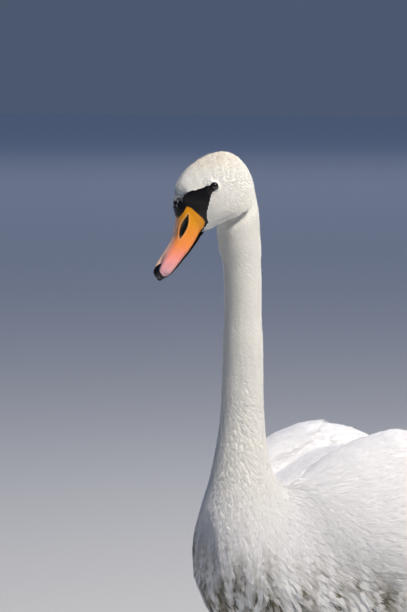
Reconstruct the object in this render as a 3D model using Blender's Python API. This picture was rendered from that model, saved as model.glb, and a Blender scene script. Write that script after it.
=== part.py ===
# Mute swan, adult female, standing at rest with the neck upright.
# Metres, +Z up; the bird faces -Y and its left side is +X; the soles are at Z = 0.
# The neck and trunk are one loft on a ladder of rungs: each rung runs from the back of
# the bird to its front or belly and carries a half width. The head and the bill have
# ladders of their own. Flat cuts part the ladders into nodes.
import math

import bmesh
import bpy
import numpy as np
from mathutils import Matrix, Vector

MM = 0.001
GAP = 0.0003                 # clear space between neighbouring nodes
SEAT_GAP = 1.6 * GAP         # wider round a seat, whose flat facets lie inside the curve
MERGE = 0.00002              # points nearer than this are one point
HEAD_TURN = math.radians(-22.0)   # the head looks a little to the bird's right
HEAD_HEIGHT = 0.826          # the head is measured from here, just behind the eye:
HEAD_AHEAD = 0.053           # height above the ground, distance ahead of the neck's axis
Y_SHIFT = -0.3044            # puts the middle of the whole bird's length at Y = 0

# Neck and trunk, from the top of the neck to the root of the tail.
# Each rung: back (y, z), front or belly (y, z), half width.
BODY_RUNGS = (
    ((0.0262, 0.740), (-0.0290, 0.740), 0.0262),
    ((0.0256, 0.682), (-0.0284, 0.682), 0.0256),
    ((0.0262, 0.616), (-0.0290, 0.616), 0.0262),
    ((0.0268, 0.570), (-0.0310, 0.570), 0.0270),
    ((0.0280, 0.534), (-0.0340, 0.532), 0.0282),
    ((0.0305, 0.505), (-0.0392, 0.500), 0.0315),
    ((0.0365, 0.479), (-0.0490, 0.458), 0.0378),
    ((0.0460, 0.460), (-0.0610, 0.418), 0.0465),
    ((0.0600, 0.450), (-0.0690, 0.380), 0.0560),
    ((0.0820, 0.452), (-0.0675, 0.344), 0.0655),
    ((0.1100, 0.462), (-0.0460, 0.301), 0.0800),
    ((0.1450, 0.474), (-0.0040, 0.258), 0.0990),
    ((0.1850, 0.481), (0.0560, 0.218), 0.1220),
    ((0.2350, 0.479), (0.1300, 0.193), 0.1420),
    ((0.2900, 0.467), (0.2200, 0.184), 0.1480),
    ((0.3450, 0.447), (0.3100, 0.190), 0.1420),
    ((0.4000, 0.423), (0.3950, 0.212), 0.1260),
    ((0.4550, 0.398), (0.4650, 0.243), 0.1030),
    ((0.5100, 0.371), (0.5250, 0.272), 0.0780),
    ((0.5600, 0.343), (0.5720, 0.295), 0.0500),
    ((0.5880, 0.327), (0.5960, 0.308), 0.0250),
)
BODY_END = (0.600, 0.317)    # rounded end under the tail (y, z)
BODY_AROUND = 26             # points round a ring
BODY_STEPS = 2               # rings for each rung
BELLY_BIAS = 0.12            # how far the widest line lies towards the belly
NECK_CUTS = (0.0, 1.5, 3.5, 6.0)   # ladder places of the flat cuts along the neck
BREAST_CUT = 10.0            # ladder place of the cut between breast and trunk

# Head, seen from its side: (ahead of, above the head's origin) in millimetres, for the
# crown line and the throat line, with the half width.
HEAD_RUNGS = (
    ((-79.2, -86.0), (-24.0, -86.0), 26.2),
    ((-77.2, -62.0), (-21.6, -66.0), 26.4),
    ((-74.9, -40.0), (-18.6, -53.0), 27.0),
    ((-70.4, -19.0), (-16.4, -46.0), 28.5),
    ((-66.0, 0.0), (-13.8, -43.5), 30.0),
    ((-60.2, 17.0), (-10.5, -44.5), 31.5),
    ((-50.5, 31.5), (-6.5, -46.5), 32.0),
    ((-37.0, 42.0), (-2.5, -49.0), 32.0),
    ((-20.0, 45.3), (1.0, -52.0), 31.0),
    ((-3.0, 41.5), (4.0, -54.5), 28.5),
    ((13.0, 33.0), (6.0, -56.5), 25.5),
    ((26.5, 20.8), (7.5, -57.5), 22.5),
    ((34.5, 8.0), (8.5, -57.5), 19.5),
    ((38.0, -5.0), (9.0, -56.5), 17.0),
)
HEAD_AROUND = 24
HEAD_RINGS = 17
CHEEK_BIAS = 0.16            # the cheeks are wider than the crown
HEAD_HALF_AT_EYE = 0.0295

# Upper bill: ridge line, cutting edge and half width, from the forehead to the tip.
BILL_RUNGS = (
    ((38.3, -5.2), (11.2, -53.6), 16.6),
    ((40.0, -24.0), (12.8, -57.4), 16.6),
    ((41.6, -42.0), (16.4, -63.8), 15.8),
    ((44.5, -55.5), (21.5, -70.8), 14.8),
    ((50.0, -68.0), (28.2, -79.4), 14.2),
    ((57.5, -79.0), (36.0, -87.6), 14.0),
    ((64.2, -88.5), (44.0, -96.4), 14.2),
    ((69.0, -97.0), (51.7, -104.2), 13.2),
    ((71.0, -104.0), (58.8, -109.8), 10.0),
    ((69.8, -110.0), (64.5, -113.5), 5.0),
)
BILL_TIP = (67.8, -113.4)
BILL_AROUND = 15
BILL_WIDEST = 0.30           # the bill is widest this part of the way up from its edge
LOWER_BILL_DEPTHS = (1.3, 2.3, 2.7, 2.6, 2.5, 2.4, 2.3, 2.1, 1.8)
LOWER_BILL_WIDTH = 0.84      # of the upper bill's width
KNOB_CENTRE = (35.4, -25.5)  # basal knob, ahead of and above the head's origin
KNOB_RADII = (9.0, 7.6, 13.0)   # across, forward, along the forehead
KNOB_TILT = math.radians(8.0)
KNOB_GAP = 0.3               # clear space round the knob and the eyes, in millimetres
EYE_GAP = 0.35

EYE_RADIUS = 0.0062
EYE_CENTRE = (2.0, 2.1)      # ahead of and above the head's origin
EYE_PROUD = 0.0014           # how far the eye stands out of the head

# Folded wing, from the shoulder to the tips of the longest feathers. Each station: y,
# inner edge (x, z), top of the hump (x, z), widest point (x, z), height of the lower
# edge.
WING_STATIONS = (
    (0.045, (0.036, 0.452), (0.048, 0.456), (0.094, 0.388), 0.362),
    (0.060, (0.035, 0.457), (0.051, 0.463), (0.108, 0.386), 0.346),
    (0.085, (0.033, 0.466), (0.056, 0.475), (0.128, 0.385), 0.325),
    (0.120, (0.031, 0.477), (0.060, 0.489), (0.149, 0.382), 0.305),
    (0.170, (0.029, 0.487), (0.064, 0.501), (0.167, 0.378), 0.292),
    (0.230, (0.028, 0.489), (0.069, 0.507), (0.176, 0.372), 0.286),
    (0.300, (0.025, 0.477), (0.071, 0.4925), (0.175, 0.366), 0.284),
    (0.370, (0.020, 0.452), (0.068, 0.463), (0.164, 0.358), 0.286),
    (0.440, (0.014, 0.431), (0.058, 0.440), (0.142, 0.352), 0.291),
    (0.500, (0.010, 0.414), (0.048, 0.422), (0.114, 0.346), 0.298),
    (0.555, (0.007, 0.391), (0.036, 0.397), (0.084, 0.342), 0.307),
    (0.605, (0.006, 0.368), (0.026, 0.373), (0.056, 0.338), 0.318),
    (0.645, (0.006, 0.351), (0.016, 0.354), (0.031, 0.338), 0.330),
)
WING_WALL = 0.050            # depth of the wing, measured in towards its own middle
WING_CORE = 0.7              # the most of the way to the middle that it may reach
WING_UNDER = math.radians(44.0)    # how far the section curls under its widest point
HUMP_POINT = 1.35            # above 1 the hump is narrower than an ellipse

# Tail: y, height, half width, thickness.
TAIL_STATIONS = (
    (0.560, 0.316, 0.052, 0.040),
    (0.600, 0.311, 0.064, 0.033),
    (0.645, 0.304, 0.069, 0.022),
    (0.685, 0.297, 0.060, 0.013),
    (0.710, 0.293, 0.042, 0.008),
    (0.725, 0.291, 0.020, 0.004),
)
TAIL_ARCH = 0.010            # the edges of the tail hang this much below its middle
TAIL_ARCH_HALF = 0.062       # where the tail has this half width
TAIL_EDGE = 0.86             # how far the tail thins out towards its edges

STANCE = 0.070               # each leg's distance from the middle plane
ANKLE = (0.300, 0.0195)      # lower end of the shank (y, z)
HEEL = (0.336, 0.121)        # upper end of the shank (y, z)
SHANK_RADII = (0.0062, 0.0090)     # across, fore and aft
SHANK_RINGS = (              # z, swell, from the ankle joint to the heel joint
    (0.0195, 1.30),
    (0.0260, 1.18),
    (0.0360, 1.00),
    (0.0700, 0.88),
    (0.0960, 0.96),
    (0.1100, 1.18),
    (0.1200, 1.26),
    (0.1287, 1.10),
)
THIGH_RINGS = (              # y, z, radius, from inside the body to the heel
    (0.285, 0.245, 0.044),
    (0.296, 0.205, 0.037),
    (0.309, 0.175, 0.027),
    (0.322, 0.150, 0.018),
    (0.333, 0.129, 0.0125),
)
THIGH_AROUND = 14
THIGH_FLAT = 0.85            # the thigh is this much narrower across than fore and aft
# Toes from the inside out: angle out from straight ahead, length, half width, height.
TOES = (
    (math.radians(-27.0), 0.092, 0.0050, 0.0090),
    (math.radians(0.0), 0.120, 0.0058, 0.0100),
    (math.radians(25.0), 0.110, 0.0055, 0.0095),
)
TOE_SHARES = (0.0, 0.08, 0.20, 0.36, 0.53, 0.70, 0.87, 1.0)   # places along a toe
TOE_START = 0.004            # where the toes leave the hub
TOE_ROOM = math.radians(12.0)      # half of the angle that a toe may fill at its root
TOE_RIDGE = (                # across a toe: offset and height, as parts of its own
    (-1.0, 0.22),
    (-0.62, 0.80),
    (0.0, 1.0),
    (0.62, 0.80),
    (1.0, 0.22),
)
WEB_THICKNESS = 0.0018
WEB_SCALLOP = 0.16           # how far the web's edge falls back between two toes
HUB_RADIUS = 0.0105
HUB_RINGS = (                # z, part of the radius
    (0.0, 0.92),
    (0.004, 1.0),
    (0.013, 1.0),
    (ANKLE[1] - GAP, 0.86),
)
HIND_TOE = (math.radians(-150.0), 0.024, 0.0040, 0.0100)   # as the toes above
HIND_TOE_RINGS = (           # distance from the hub, part of the half width
    (0.002, 1.3),
    (0.010, 1.2),
    (0.018, 0.95),
    (0.024, 0.65),
)
CLAW_LENGTH = 0.013
CLAW_RINGS = ((0.0, 1.0), (0.35, 0.92), (0.7, 0.6))   # part of the length, size
CLAW_LIFT = 0.0002           # the claws just clear the ground


def clearScene():
    for thing in list(bpy.data.objects):
        bpy.data.objects.remove(thing, do_unlink=True)


def makeMaterial(name, colour, roughness):
    mat = bpy.data.materials.new(name)
    mat.use_nodes = True
    shader = mat.node_tree.nodes["Principled BSDF"]
    shader.inputs["Base Color"].default_value = (*colour, 1.0)
    shader.inputs["Roughness"].default_value = roughness
    shader.inputs["Metallic"].default_value = 0.0
    return mat


def smoothLadder(rungs, place):
    """One rung at a fractional place of a ladder, on a Catmull-Rom curve."""
    last = len(rungs) - 1
    base = min(int(place), last - 1)
    part = place - base
    a, b, c, d = (rungs[min(max(base + k, 0), last)] for k in (-1, 0, 1, 2))
    return 0.5 * ((2 * b) + (c - a) * part + (2 * a - 5 * b + 4 * c - d) * part ** 2
                  + (3 * b - a - 3 * c + d) * part ** 3)


def ladderArray(rungs):
    return np.array([(*back, *front, half) for back, front, half in rungs])


def ringOfRung(rung, around, bias, along=0.0, widest=0.5, fullness=1.0):
    """Points round one rung; along moves the ring off the rung, across its plane."""
    back, front, half = rung[0:2], rung[2:4], rung[4]
    up = back - front
    length = np.linalg.norm(up)
    up = up / length
    forward = np.array((up[1], -up[0]))
    middle = front + up * length * widest + forward * along
    points = []
    for k in range(around):
        turn = 2 * math.pi * k / around
        c, s = math.cos(turn), math.sin(turn)
        c = math.copysign(abs(c) ** fullness, c)
        reach = length * ((1 - widest) if c > 0 else widest)
        y, z = middle + up * reach * c
        points.append((half * s * (1 - bias * c), y, z))
    return points


def loft(rings, name, mat, end=None):
    """A closed skin over rings of equal length, with a flat end or a tip."""
    work = bmesh.new()
    rows = [[work.verts.new(p) for p in ring] for ring in rings]
    count = len(rows[0])
    for lower, upper in zip(rows, rows[1:]):
        for k in range(count):
            n = (k + 1) % count
            if k < count / 2:
                work.faces.new((lower[k], lower[n], upper[n]))
                work.faces.new((lower[k], upper[n], upper[k]))
            else:
                work.faces.new((lower[k], lower[n], upper[k]))
                work.faces.new((lower[n], upper[n], upper[k]))
    work.faces.new(rows[0])
    if end is None:
        work.faces.new(rows[-1])
    else:
        tip = work.verts.new(end)
        for k in range(count):
            work.faces.new((rows[-1][k], rows[-1][(k + 1) % count], tip))
    return finishMesh(work, name, mat)


def finishMesh(work, name, mat):
    bmesh.ops.recalc_face_normals(work, faces=work.faces)
    mesh = bpy.data.meshes.new(name)
    work.to_mesh(mesh)
    work.free()
    mesh.materials.append(mat)
    mesh.shade_smooth()
    thing = bpy.data.objects.new(name, mesh)
    bpy.context.scene.collection.objects.link(thing)
    return thing


def growMesh(thing, amount):
    """Move every point out along its normal."""
    normals = [v.normal.copy() for v in thing.data.vertices]
    for vert, normal in zip(thing.data.vertices, normals):
        vert.co += normal * amount


def grownCopy(thing, amount, name):
    """A cutter: the same mesh, a little larger."""
    cutter = bpy.data.objects.new(name, thing.data.copy())
    bpy.context.scene.collection.objects.link(cutter)
    growMesh(cutter, amount)
    return cutter


def cutByBody(thing):
    """Trim a piece against the whole neck and trunk, with a clear gap."""
    whole = bodyNode("body_seat", thing.data.materials[0], NECK_CUTS[2], len(BODY_RUNGS) - 1)
    growMesh(whole, SEAT_GAP)
    combine(thing, whole, 'DIFFERENCE')
    keepLargest(thing)


def combine(thing, other, operation):
    """Apply one exact Boolean to the mesh and drop the other object."""
    step = thing.modifiers.new("cut", 'BOOLEAN')
    step.operation = operation
    step.solver = 'EXACT'
    step.object = other
    graph = bpy.context.evaluated_depsgraph_get()
    mesh = bpy.data.meshes.new_from_object(thing.evaluated_get(graph))
    thing.modifiers.clear()
    mesh.name = thing.name
    thing.data = mesh
    bpy.data.objects.remove(other, do_unlink=True)


def keepLargest(thing):
    """Drop the slivers that a cut can leave beside the main body."""
    work = bmesh.new()
    work.from_mesh(thing.data)
    bmesh.ops.remove_doubles(work, verts=work.verts, dist=MERGE)
    groups = []
    seen = set()
    for vert in work.verts:
        if vert in seen:
            continue
        group = [vert]
        seen.add(vert)
        for item in group:
            for edge in item.link_edges:
                other = edge.other_vert(item)
                if other not in seen:
                    seen.add(other)
                    group.append(other)
        groups.append(group)
    groups.sort(key=len)
    for group in groups[:-1]:
        bmesh.ops.delete(work, geom=group, context='VERTS')
    bmesh.ops.dissolve_degenerate(work, edges=work.edges, dist=MERGE)
    work.to_mesh(thing.data)
    work.free()


def turnHead(thing):
    """From the head's own frame to its place on the neck."""
    thing.data.transform(Matrix.Rotation(HEAD_TURN, 4, 'Z'))


def headPoint(ahead, above, across=0.0):
    return Vector((across * MM, -(ahead * MM + HEAD_AHEAD), HEAD_HEIGHT + above * MM))


def headLadder(rungs):
    rows = []
    for upper, lower, half in rungs:
        a, b = headPoint(*upper), headPoint(*lower)
        rows.append((a.y, a.z, b.y, b.z, half * MM))
    return np.array(rows)


def bodyNode(name, mat, start, end):
    """One stretch of the neck and trunk between two flat cuts."""
    rungs = ladderArray(BODY_RUNGS)
    steps = round((end - start) * BODY_STEPS)
    rings = []
    for k in range(steps + 1):
        place = start + (end - start) * k / steps
        inset = (GAP / 2 if k == 0 else 0.0) - (GAP / 2 if k == steps else 0.0)
        bias = BELLY_BIAS * min(1.0, max(0.0, (place - 6.0) / 5.0))
        rings.append(ringOfRung(smoothLadder(rungs, place), BODY_AROUND, bias, inset))
    last = len(BODY_RUNGS) - 1
    tip = (0.0, *BODY_END) if end == last else None
    return loft(rings, name, mat, end=tip)


def makeBody(feather):
    names = ("neck_upper", "neck_middle", "neck_lower")
    for name, start, end in zip(names, NECK_CUTS, NECK_CUTS[1:]):
        bodyNode(name, feather, start, end)
    bodyNode("breast", feather, NECK_CUTS[-1], BREAST_CUT)
    bodyNode("trunk", feather, BREAST_CUT, len(BODY_RUNGS) - 1)


def makeHead(feather, horn, black, glass):
    rungs = headLadder(HEAD_RUNGS)
    last = len(HEAD_RUNGS) - 1
    rings = []
    for k in range(HEAD_RINGS):
        place = last * k / (HEAD_RINGS - 1)
        bias = CHEEK_BIAS * min(1.0, place / 5.0)
        inset = -GAP / 2 if k == 0 else 0.0
        rings.append(ringOfRung(smoothLadder(rungs, place), HEAD_AROUND, bias, inset))
    head = loft(rings, "head", feather)

    rungs = headLadder(BILL_RUNGS)
    last = len(BILL_RUNGS) - 1
    rings = [ringOfRung(smoothLadder(rungs, k / 2), BILL_AROUND, 0.0,
                        widest=BILL_WIDEST, fullness=0.9) for k in range(2 * last + 1)]
    tip = headPoint(*BILL_TIP)
    bill = loft(rings, "bill_upper", horn, end=tip)

    rings = []
    for (ridge, edge, half), depth in zip(BILL_RUNGS, LOWER_BILL_DEPTHS):
        top = Vector(edge)
        down = (top - Vector(ridge)).normalized()
        rung = headLadder([(tuple(top + down * GAP / MM), tuple(top + down * depth),
                            half * LOWER_BILL_WIDTH)])[0]
        rings.append(ringOfRung(rung, BILL_AROUND, 0.0, widest=0.62))
    lower = loft(rings, "bill_lower", black)

    centre = headPoint(*KNOB_CENTRE)
    knob = ellipsoid("knob", black, centre, KNOB_RADII, KNOB_TILT)
    seat = ellipsoid("knob_seat", black, centre, [r + KNOB_GAP for r in KNOB_RADII], KNOB_TILT)
    combine(bill, seat, 'DIFFERENCE')
    combine(knob, grownCopy(head, GAP, "head_seat"), 'DIFFERENCE')
    for thing in (bill, knob):
        keepLargest(thing)

    for side, name in ((1, "eye_left"), (-1, "eye_right")):
        out = (HEAD_HALF_AT_EYE - EYE_RADIUS + EYE_PROUD) / MM
        centre = headPoint(*EYE_CENTRE, side * out)
        eye = ellipsoid(name, glass, centre, [EYE_RADIUS / MM] * 3, around=12, rows=8)
        radii = [EYE_RADIUS / MM + EYE_GAP] * 3
        seat = ellipsoid("eye_seat", glass, centre, radii, around=12, rows=8)
        combine(head, seat, 'DIFFERENCE')
        turnHead(eye)
    for thing in (head, bill, lower, knob):
        turnHead(thing)


def ellipsoid(name, mat, centre, radii, tilt=0.0, around=14, rows=9):
    """Radii in millimetres; the tilt leans it back along the forehead."""
    work = bmesh.new()
    bmesh.ops.create_uvsphere(work, u_segments=around, v_segments=rows, radius=1.0)
    size = Matrix.Diagonal((*(r * MM for r in radii), 1.0))
    place = Matrix.Translation(centre) @ Matrix.Rotation(tilt, 4, 'X') @ size
    bmesh.ops.transform(work, matrix=place, verts=work.verts)
    return finishMesh(work, name, mat)


def wingSection(station, side):
    """Outer curve from the inner edge over the hump to the lower edge, and back inside."""
    y, inner, hump, wide, low = station
    outer = []
    for k in range(3):
        part = k / 3
        x = inner[0] + (hump[0] - inner[0]) * part
        outer.append((x, hump[1] - (hump[1] - inner[1]) * (1 - part) ** 2))
    for k in range(7):
        turn = math.radians(90 - 15 * k)
        outer.append((hump[0] + (wide[0] - hump[0]) * max(0.0, math.cos(turn)),
                      wide[1] + (hump[1] - wide[1]) * math.sin(turn) ** HUMP_POINT))
    for k in range(1, 4):
        turn = WING_UNDER * k / 3
        outer.append((hump[0] + (wide[0] - hump[0]) * math.cos(turn),
                      wide[1] - (wide[1] - low) * math.sin(turn) / math.sin(WING_UNDER)))
    heart = np.array((hump[0] * 0.5, (wide[1] + low) / 2 + (hump[1] - wide[1]) * 0.3))
    inside = []
    for point in [outer[0]] + outer[1:-1:2] + [outer[-1]]:
        pull = heart - np.array(point)
        far = np.linalg.norm(pull)
        inside.append(tuple(np.array(point) + pull / far * min(WING_WALL, far * WING_CORE)))
    return [(side * x, y, z) for x, z in outer + inside[::-1]]


def makeWing(name, mat, side):
    wing = loft([wingSection(station, side) for station in WING_STATIONS], name, mat)
    cutByBody(wing)
    return wing


def makeTail(mat, wings):
    rings = []
    for y, height, half, thick in TAIL_STATIONS:
        top, under = [], []
        for k in range(11):
            part = -1 + 2 * k / 10
            z = height - TAIL_ARCH * part ** 2 * half / TAIL_ARCH_HALF
            swell = thick / 2 * math.sqrt(1 - TAIL_EDGE * part ** 2)
            top.append((half * part, y, z + swell))
            under.append((half * part, y, z - swell))
        rings.append(top + under[::-1])
    tail = loft(rings, "tail", mat)
    cutByBody(tail)
    for wing in wings:
        combine(tail, grownCopy(wing, GAP, "tail_seat"), 'DIFFERENCE')
    keepLargest(tail)


def makeLeg(sideName, side, feather, skin, horn):
    x = side * STANCE
    rings = []
    for y, z, radius in THIGH_RINGS:
        turns = [2 * math.pi * k / THIGH_AROUND for k in range(THIGH_AROUND)]
        rings.append([(x + radius * THIGH_FLAT * math.cos(t), y + radius * math.sin(t), z)
                      for t in turns])
    thigh = loft(rings, "thigh_" + sideName, feather)
    cutByBody(thigh)

    rings = []
    for z, swell in SHANK_RINGS:
        y = ANKLE[0] + (HEEL[0] - ANKLE[0]) * (z - ANKLE[1]) / (HEEL[1] - ANKLE[1])
        a, b = SHANK_RADII[0] * swell, SHANK_RADII[1] * swell
        rings.append([(x + a * math.cos(2 * math.pi * k / 12),
                       y + b * math.sin(2 * math.pi * k / 12), z) for k in range(12)])
    loft(rings, "shank_" + sideName, skin)
    makeFoot(sideName, side, skin, horn)


def toeFrame(side, angle):
    """Directions along and across a toe; positive angles turn outwards."""
    along = Vector((side * math.sin(angle), -math.cos(angle), 0.0))
    return along, Vector((-along.y * side, along.x * side, 0.0))


def makeFoot(sideName, side, skin, horn):
    joint = Vector((side * STANCE, ANKLE[0], 0.0))
    columns = []
    for number, (angle, length, half, height) in enumerate(TOES):
        along, across = toeFrame(side, angle)
        toe = [[] for _ in TOE_RIDGE]
        for share in TOE_SHARES:
            reach = TOE_START + (length - TOE_START) * share
            room = reach * math.tan(TOE_ROOM)
            wide = min(half * (1 - 0.25 * share), room) * (0.72 if share == 1.0 else 1.0)
            tall = height * (1 - 0.38 * share) * (0.8 if share == 1.0 else 1.0)
            for slot, (off, rise) in enumerate(TOE_RIDGE):
                point = joint + along * reach + across * off * wide
                toe[slot].append((point.x, point.y, max(WEB_THICKNESS, tall * rise)))
        if number:
            before = columns[-1]
            for part in (0.25, 0.5, 0.75):
                web = []
                for share, a, b in zip(TOE_SHARES, before, toe[0]):
                    mid = Vector(a).lerp(Vector(b), part)
                    back = 1 - WEB_SCALLOP * 4 * part * (1 - part) * share
                    spot = joint + (mid - joint) * back
                    web.append((spot.x, spot.y, WEB_THICKNESS))
                columns.append(web)
        columns.extend(toe)

    work = bmesh.new()
    top = [[work.verts.new(p) for p in column] for column in columns]
    for a, b in zip(top, top[1:]):
        for k in range(len(TOE_SHARES) - 1):
            work.faces.new((a[k], a[k + 1], b[k + 1], b[k]))
    rim = top[0] + [column[-1] for column in top[1:-1]] + top[-1][::-1]
    rim += [column[0] for column in top[-2:0:-1]]
    sole = [work.verts.new((v.co.x, v.co.y, 0.0)) for v in rim]
    for k in range(len(rim)):
        n = (k + 1) % len(rim)
        work.faces.new((rim[k], rim[n], sole[n], sole[k]))
    work.faces.new(sole)
    foot = finishMesh(work, "foot_" + sideName, skin)

    turns = [2 * math.pi * k / 14 for k in range(14)]
    rings = [[(joint.x + r * math.cos(t), joint.y + r * 1.1 * math.sin(t), z) for t in turns]
             for z, r in ((z, HUB_RADIUS * part) for z, part in HUB_RINGS)]
    combine(foot, loft(rings, "hub", skin), 'UNION')
    angle, _, half, _ = HIND_TOE
    along, across = toeFrame(side, angle)
    rings = []
    for reach, size in HIND_TOE_RINGS:
        ring = []
        for k in range(10):
            turn = 2 * math.pi * k / 10
            spot = joint + along * reach + across * half * size * math.cos(turn)
            ring.append((spot.x, spot.y, max(0.0, half * size * (1 + math.sin(turn)))))
        rings.append(ring)
    combine(foot, loft(rings, "hind_toe", skin), 'UNION')
    keepLargest(foot)

    makeClaws(sideName, side, joint, horn)


def makeClaws(sideName, side, joint, horn):
    for number, (angle, length, toeHalf, toeHeight) in enumerate((*TOES, HIND_TOE), 1):
        along, across = toeFrame(side, angle)
        half, height = toeHalf * 0.55, toeHeight * 0.5
        reach = CLAW_LENGTH * (0.7 if number == 4 else 1.0)
        rings = []
        for part, size in CLAW_RINGS:
            spot = joint + along * (length + GAP + reach * part)
            middle = height * (0.62 - 0.30 * part)
            ring = []
            for k in range(6):
                turn = 2 * math.pi * k / 6
                point = spot + across * half * size * math.cos(turn)
                rise = middle + height * 0.45 * size * math.sin(turn)
                ring.append((point.x, point.y, max(CLAW_LIFT, rise)))
            rings.append(ring)
        tip = joint + along * (length + reach)
        loft(rings, f"claw_{sideName}_{number}", horn, end=(tip.x, tip.y, height * 0.16))


def main():
    clearScene()
    feather = makeMaterial("white feather", (0.83, 0.82, 0.78), 0.75)
    horn = makeMaterial("orange horn", (0.85, 0.36, 0.10), 0.38)
    black = makeMaterial("black skin", (0.02, 0.02, 0.02), 0.35)
    glass = makeMaterial("dark eye", (0.02, 0.013, 0.01), 0.08)
    legSkin = makeMaterial("dark leg skin", (0.05, 0.05, 0.055), 0.55)
    makeBody(feather)
    makeHead(feather, horn, black, glass)
    wings = [makeWing("wing_left", feather, 1), makeWing("wing_right", feather, -1)]
    makeTail(feather, wings)
    for sideName, side in (("left", 1), ("right", -1)):
        makeLeg(sideName, side, feather, legSkin, black)
    for thing in bpy.data.objects:
        thing.data.transform(Matrix.Translation((0.0, Y_SHIFT, 0.0)))


main()
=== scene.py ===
# A mute swan standing still: one skin under a coat of feathers, with a horn bill, dark
# eyes and scaly legs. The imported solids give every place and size.
import heapq
import math
from contextlib import contextmanager
from itertools import product
from types import SimpleNamespace

import bmesh
import bpy
import numpy as np
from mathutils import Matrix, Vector
from mathutils.bvhtree import BVHTree
from mathutils.kdtree import KDTree


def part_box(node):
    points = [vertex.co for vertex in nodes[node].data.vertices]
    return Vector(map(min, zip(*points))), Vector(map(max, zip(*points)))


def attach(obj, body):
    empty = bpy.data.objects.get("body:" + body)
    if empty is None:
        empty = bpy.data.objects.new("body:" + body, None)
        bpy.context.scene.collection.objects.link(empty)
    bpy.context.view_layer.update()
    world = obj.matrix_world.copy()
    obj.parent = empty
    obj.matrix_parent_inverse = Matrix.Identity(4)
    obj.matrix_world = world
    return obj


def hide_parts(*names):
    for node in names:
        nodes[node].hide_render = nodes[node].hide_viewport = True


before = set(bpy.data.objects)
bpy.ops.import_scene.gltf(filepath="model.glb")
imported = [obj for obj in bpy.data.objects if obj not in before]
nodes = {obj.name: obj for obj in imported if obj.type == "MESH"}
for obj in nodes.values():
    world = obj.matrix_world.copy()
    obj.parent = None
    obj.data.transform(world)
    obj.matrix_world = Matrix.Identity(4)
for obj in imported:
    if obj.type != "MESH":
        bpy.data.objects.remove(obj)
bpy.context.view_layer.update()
mm = 0.001
wingNames, neckNames = ("wing_left", "wing_right"), ("neck_upper", "neck_middle", "neck_lower")
fleshNames = ["head", *neckNames, "breast", "trunk", "tail", *wingNames, "thigh_left", "thigh_right"]


def say(text):
    print("swan:", text, flush=True)


def readFlat(items, what, width=3, kind=np.float32):
    flat = np.empty(len(items) * width, kind)
    items.foreach_get(what, flat)
    return flat.reshape(-1, width)


def readIndices(items, what):
    return readFlat(items, what, 1, np.int32)[:, 0]


def readPoints(mesh):
    return readFlat(mesh.vertices, "co").astype(float)


def readNormals(mesh):
    return readFlat(mesh.vertex_normals, "vector").astype(float)


def readTriangles(mesh):
    mesh.calc_loop_triangles()
    return readFlat(mesh.loop_triangles, "vertices", 3, np.int32)


def writePoints(mesh, points):
    mesh.vertices.foreach_set("co", points.astype(np.float32).ravel())
    mesh.update()


def setValues(mesh, **named):
    for name, values in named.items():
        values = np.asarray(values, np.float32)
        wide = values.ndim > 1
        layer = mesh.attributes.new(name, "FLOAT_VECTOR" if wide else "FLOAT", "POINT")
        layer.data.foreach_set("vector" if wide else "value", values.ravel())


def dress(mesh, *materials):
    mesh.materials.clear()
    for material in materials:
        mesh.materials.append(material)


def addObject(name, data, *materials):
    thing = bpy.data.objects.new(name, data)
    bpy.context.scene.collection.objects.link(thing)
    if materials:
        dress(data, *materials)
    return thing


@contextmanager
def editing(mesh, source=None):
    # lends the mesh out for editing and writes the result back
    work = bmesh.new()
    work.from_mesh(source or mesh)
    yield work
    work.to_mesh(mesh)
    work.free()


def mergedMesh(name):
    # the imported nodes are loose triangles, so a copy is welded before it is worked on
    mesh = bpy.data.meshes.new(name + " copy")
    with editing(mesh, nodes[name].data) as work:
        bmesh.ops.remove_doubles(work, verts=work.verts, dist=0.02 * mm)
    return mesh


def plainMesh(thing):
    # what the modifiers give, as a mesh of its own
    graph = bpy.context.evaluated_depsgraph_get()
    mesh = bpy.data.meshes.new_from_object(thing.evaluated_get(graph))
    thing.modifiers.clear()
    thing.data = mesh
    return mesh


def voxelMesh(thing, voxel):
    # an even mesh of the whole outside, without the bubbles between solids that nearly meet
    step = thing.modifiers.new("even mesh", "REMESH")
    step.mode = "VOXEL"
    step.voxel_size = voxel
    mesh = plainMesh(thing)
    with editing(mesh) as work:
        left = set(work.verts)
        groups = []
        while left:
            group = [left.pop()]
            for vert in group:
                for edge in vert.link_edges:
                    other = edge.other_vert(vert)
                    if other in left:
                        left.discard(other)
                        group.append(other)
            groups.append(group)
        for group in sorted(groups, key=len)[:-1]:
            bmesh.ops.delete(work, geom=group, context="VERTS")
    return mesh


def surfaceOf(points, triangles):
    return BVHTree.FromPolygons(points.tolist(), triangles.tolist())


def pointFinder(places):
    finder = KDTree(len(places))
    for k, place in enumerate(places.tolist()):
        finder.insert(place, k)
    finder.balance()
    return finder


def neighbours(mesh):
    edges = readFlat(mesh.edges, "vertices", 2, np.int32)
    first, second = np.vstack((edges, edges[:, ::-1])).T
    return first, second, np.bincount(first, minlength=len(mesh.vertices))


def spread(links, values, rounds, share=0.6):
    # evens a value out over neighbouring points
    first, second, degree = links
    if values.ndim > 1:
        return np.stack([spread(links, column, rounds, share) for column in values.T], axis=1)
    for _ in range(rounds):
        near = np.bincount(first, values[second], len(values)) / degree
        values = (1 - share) * values + share * near
    return values


def evenOut(points, links, weight, rounds):
    for _ in range(rounds):
        points += (spread(links, points, 1) - points) * weight[:, None]


def relax(mesh, rounds, weight=1.0):
    # smooths without shrinking: a step in, then a slightly longer step out
    points = readPoints(mesh)
    links = neighbours(mesh)
    weight = np.broadcast_to(weight, len(points))[:, None]
    for _ in range(rounds):
        for factor in (0.5, -0.53):
            points += (spread(links, points, 1, 1.0) - points) * factor * weight
    writePoints(mesh, points)


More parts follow.
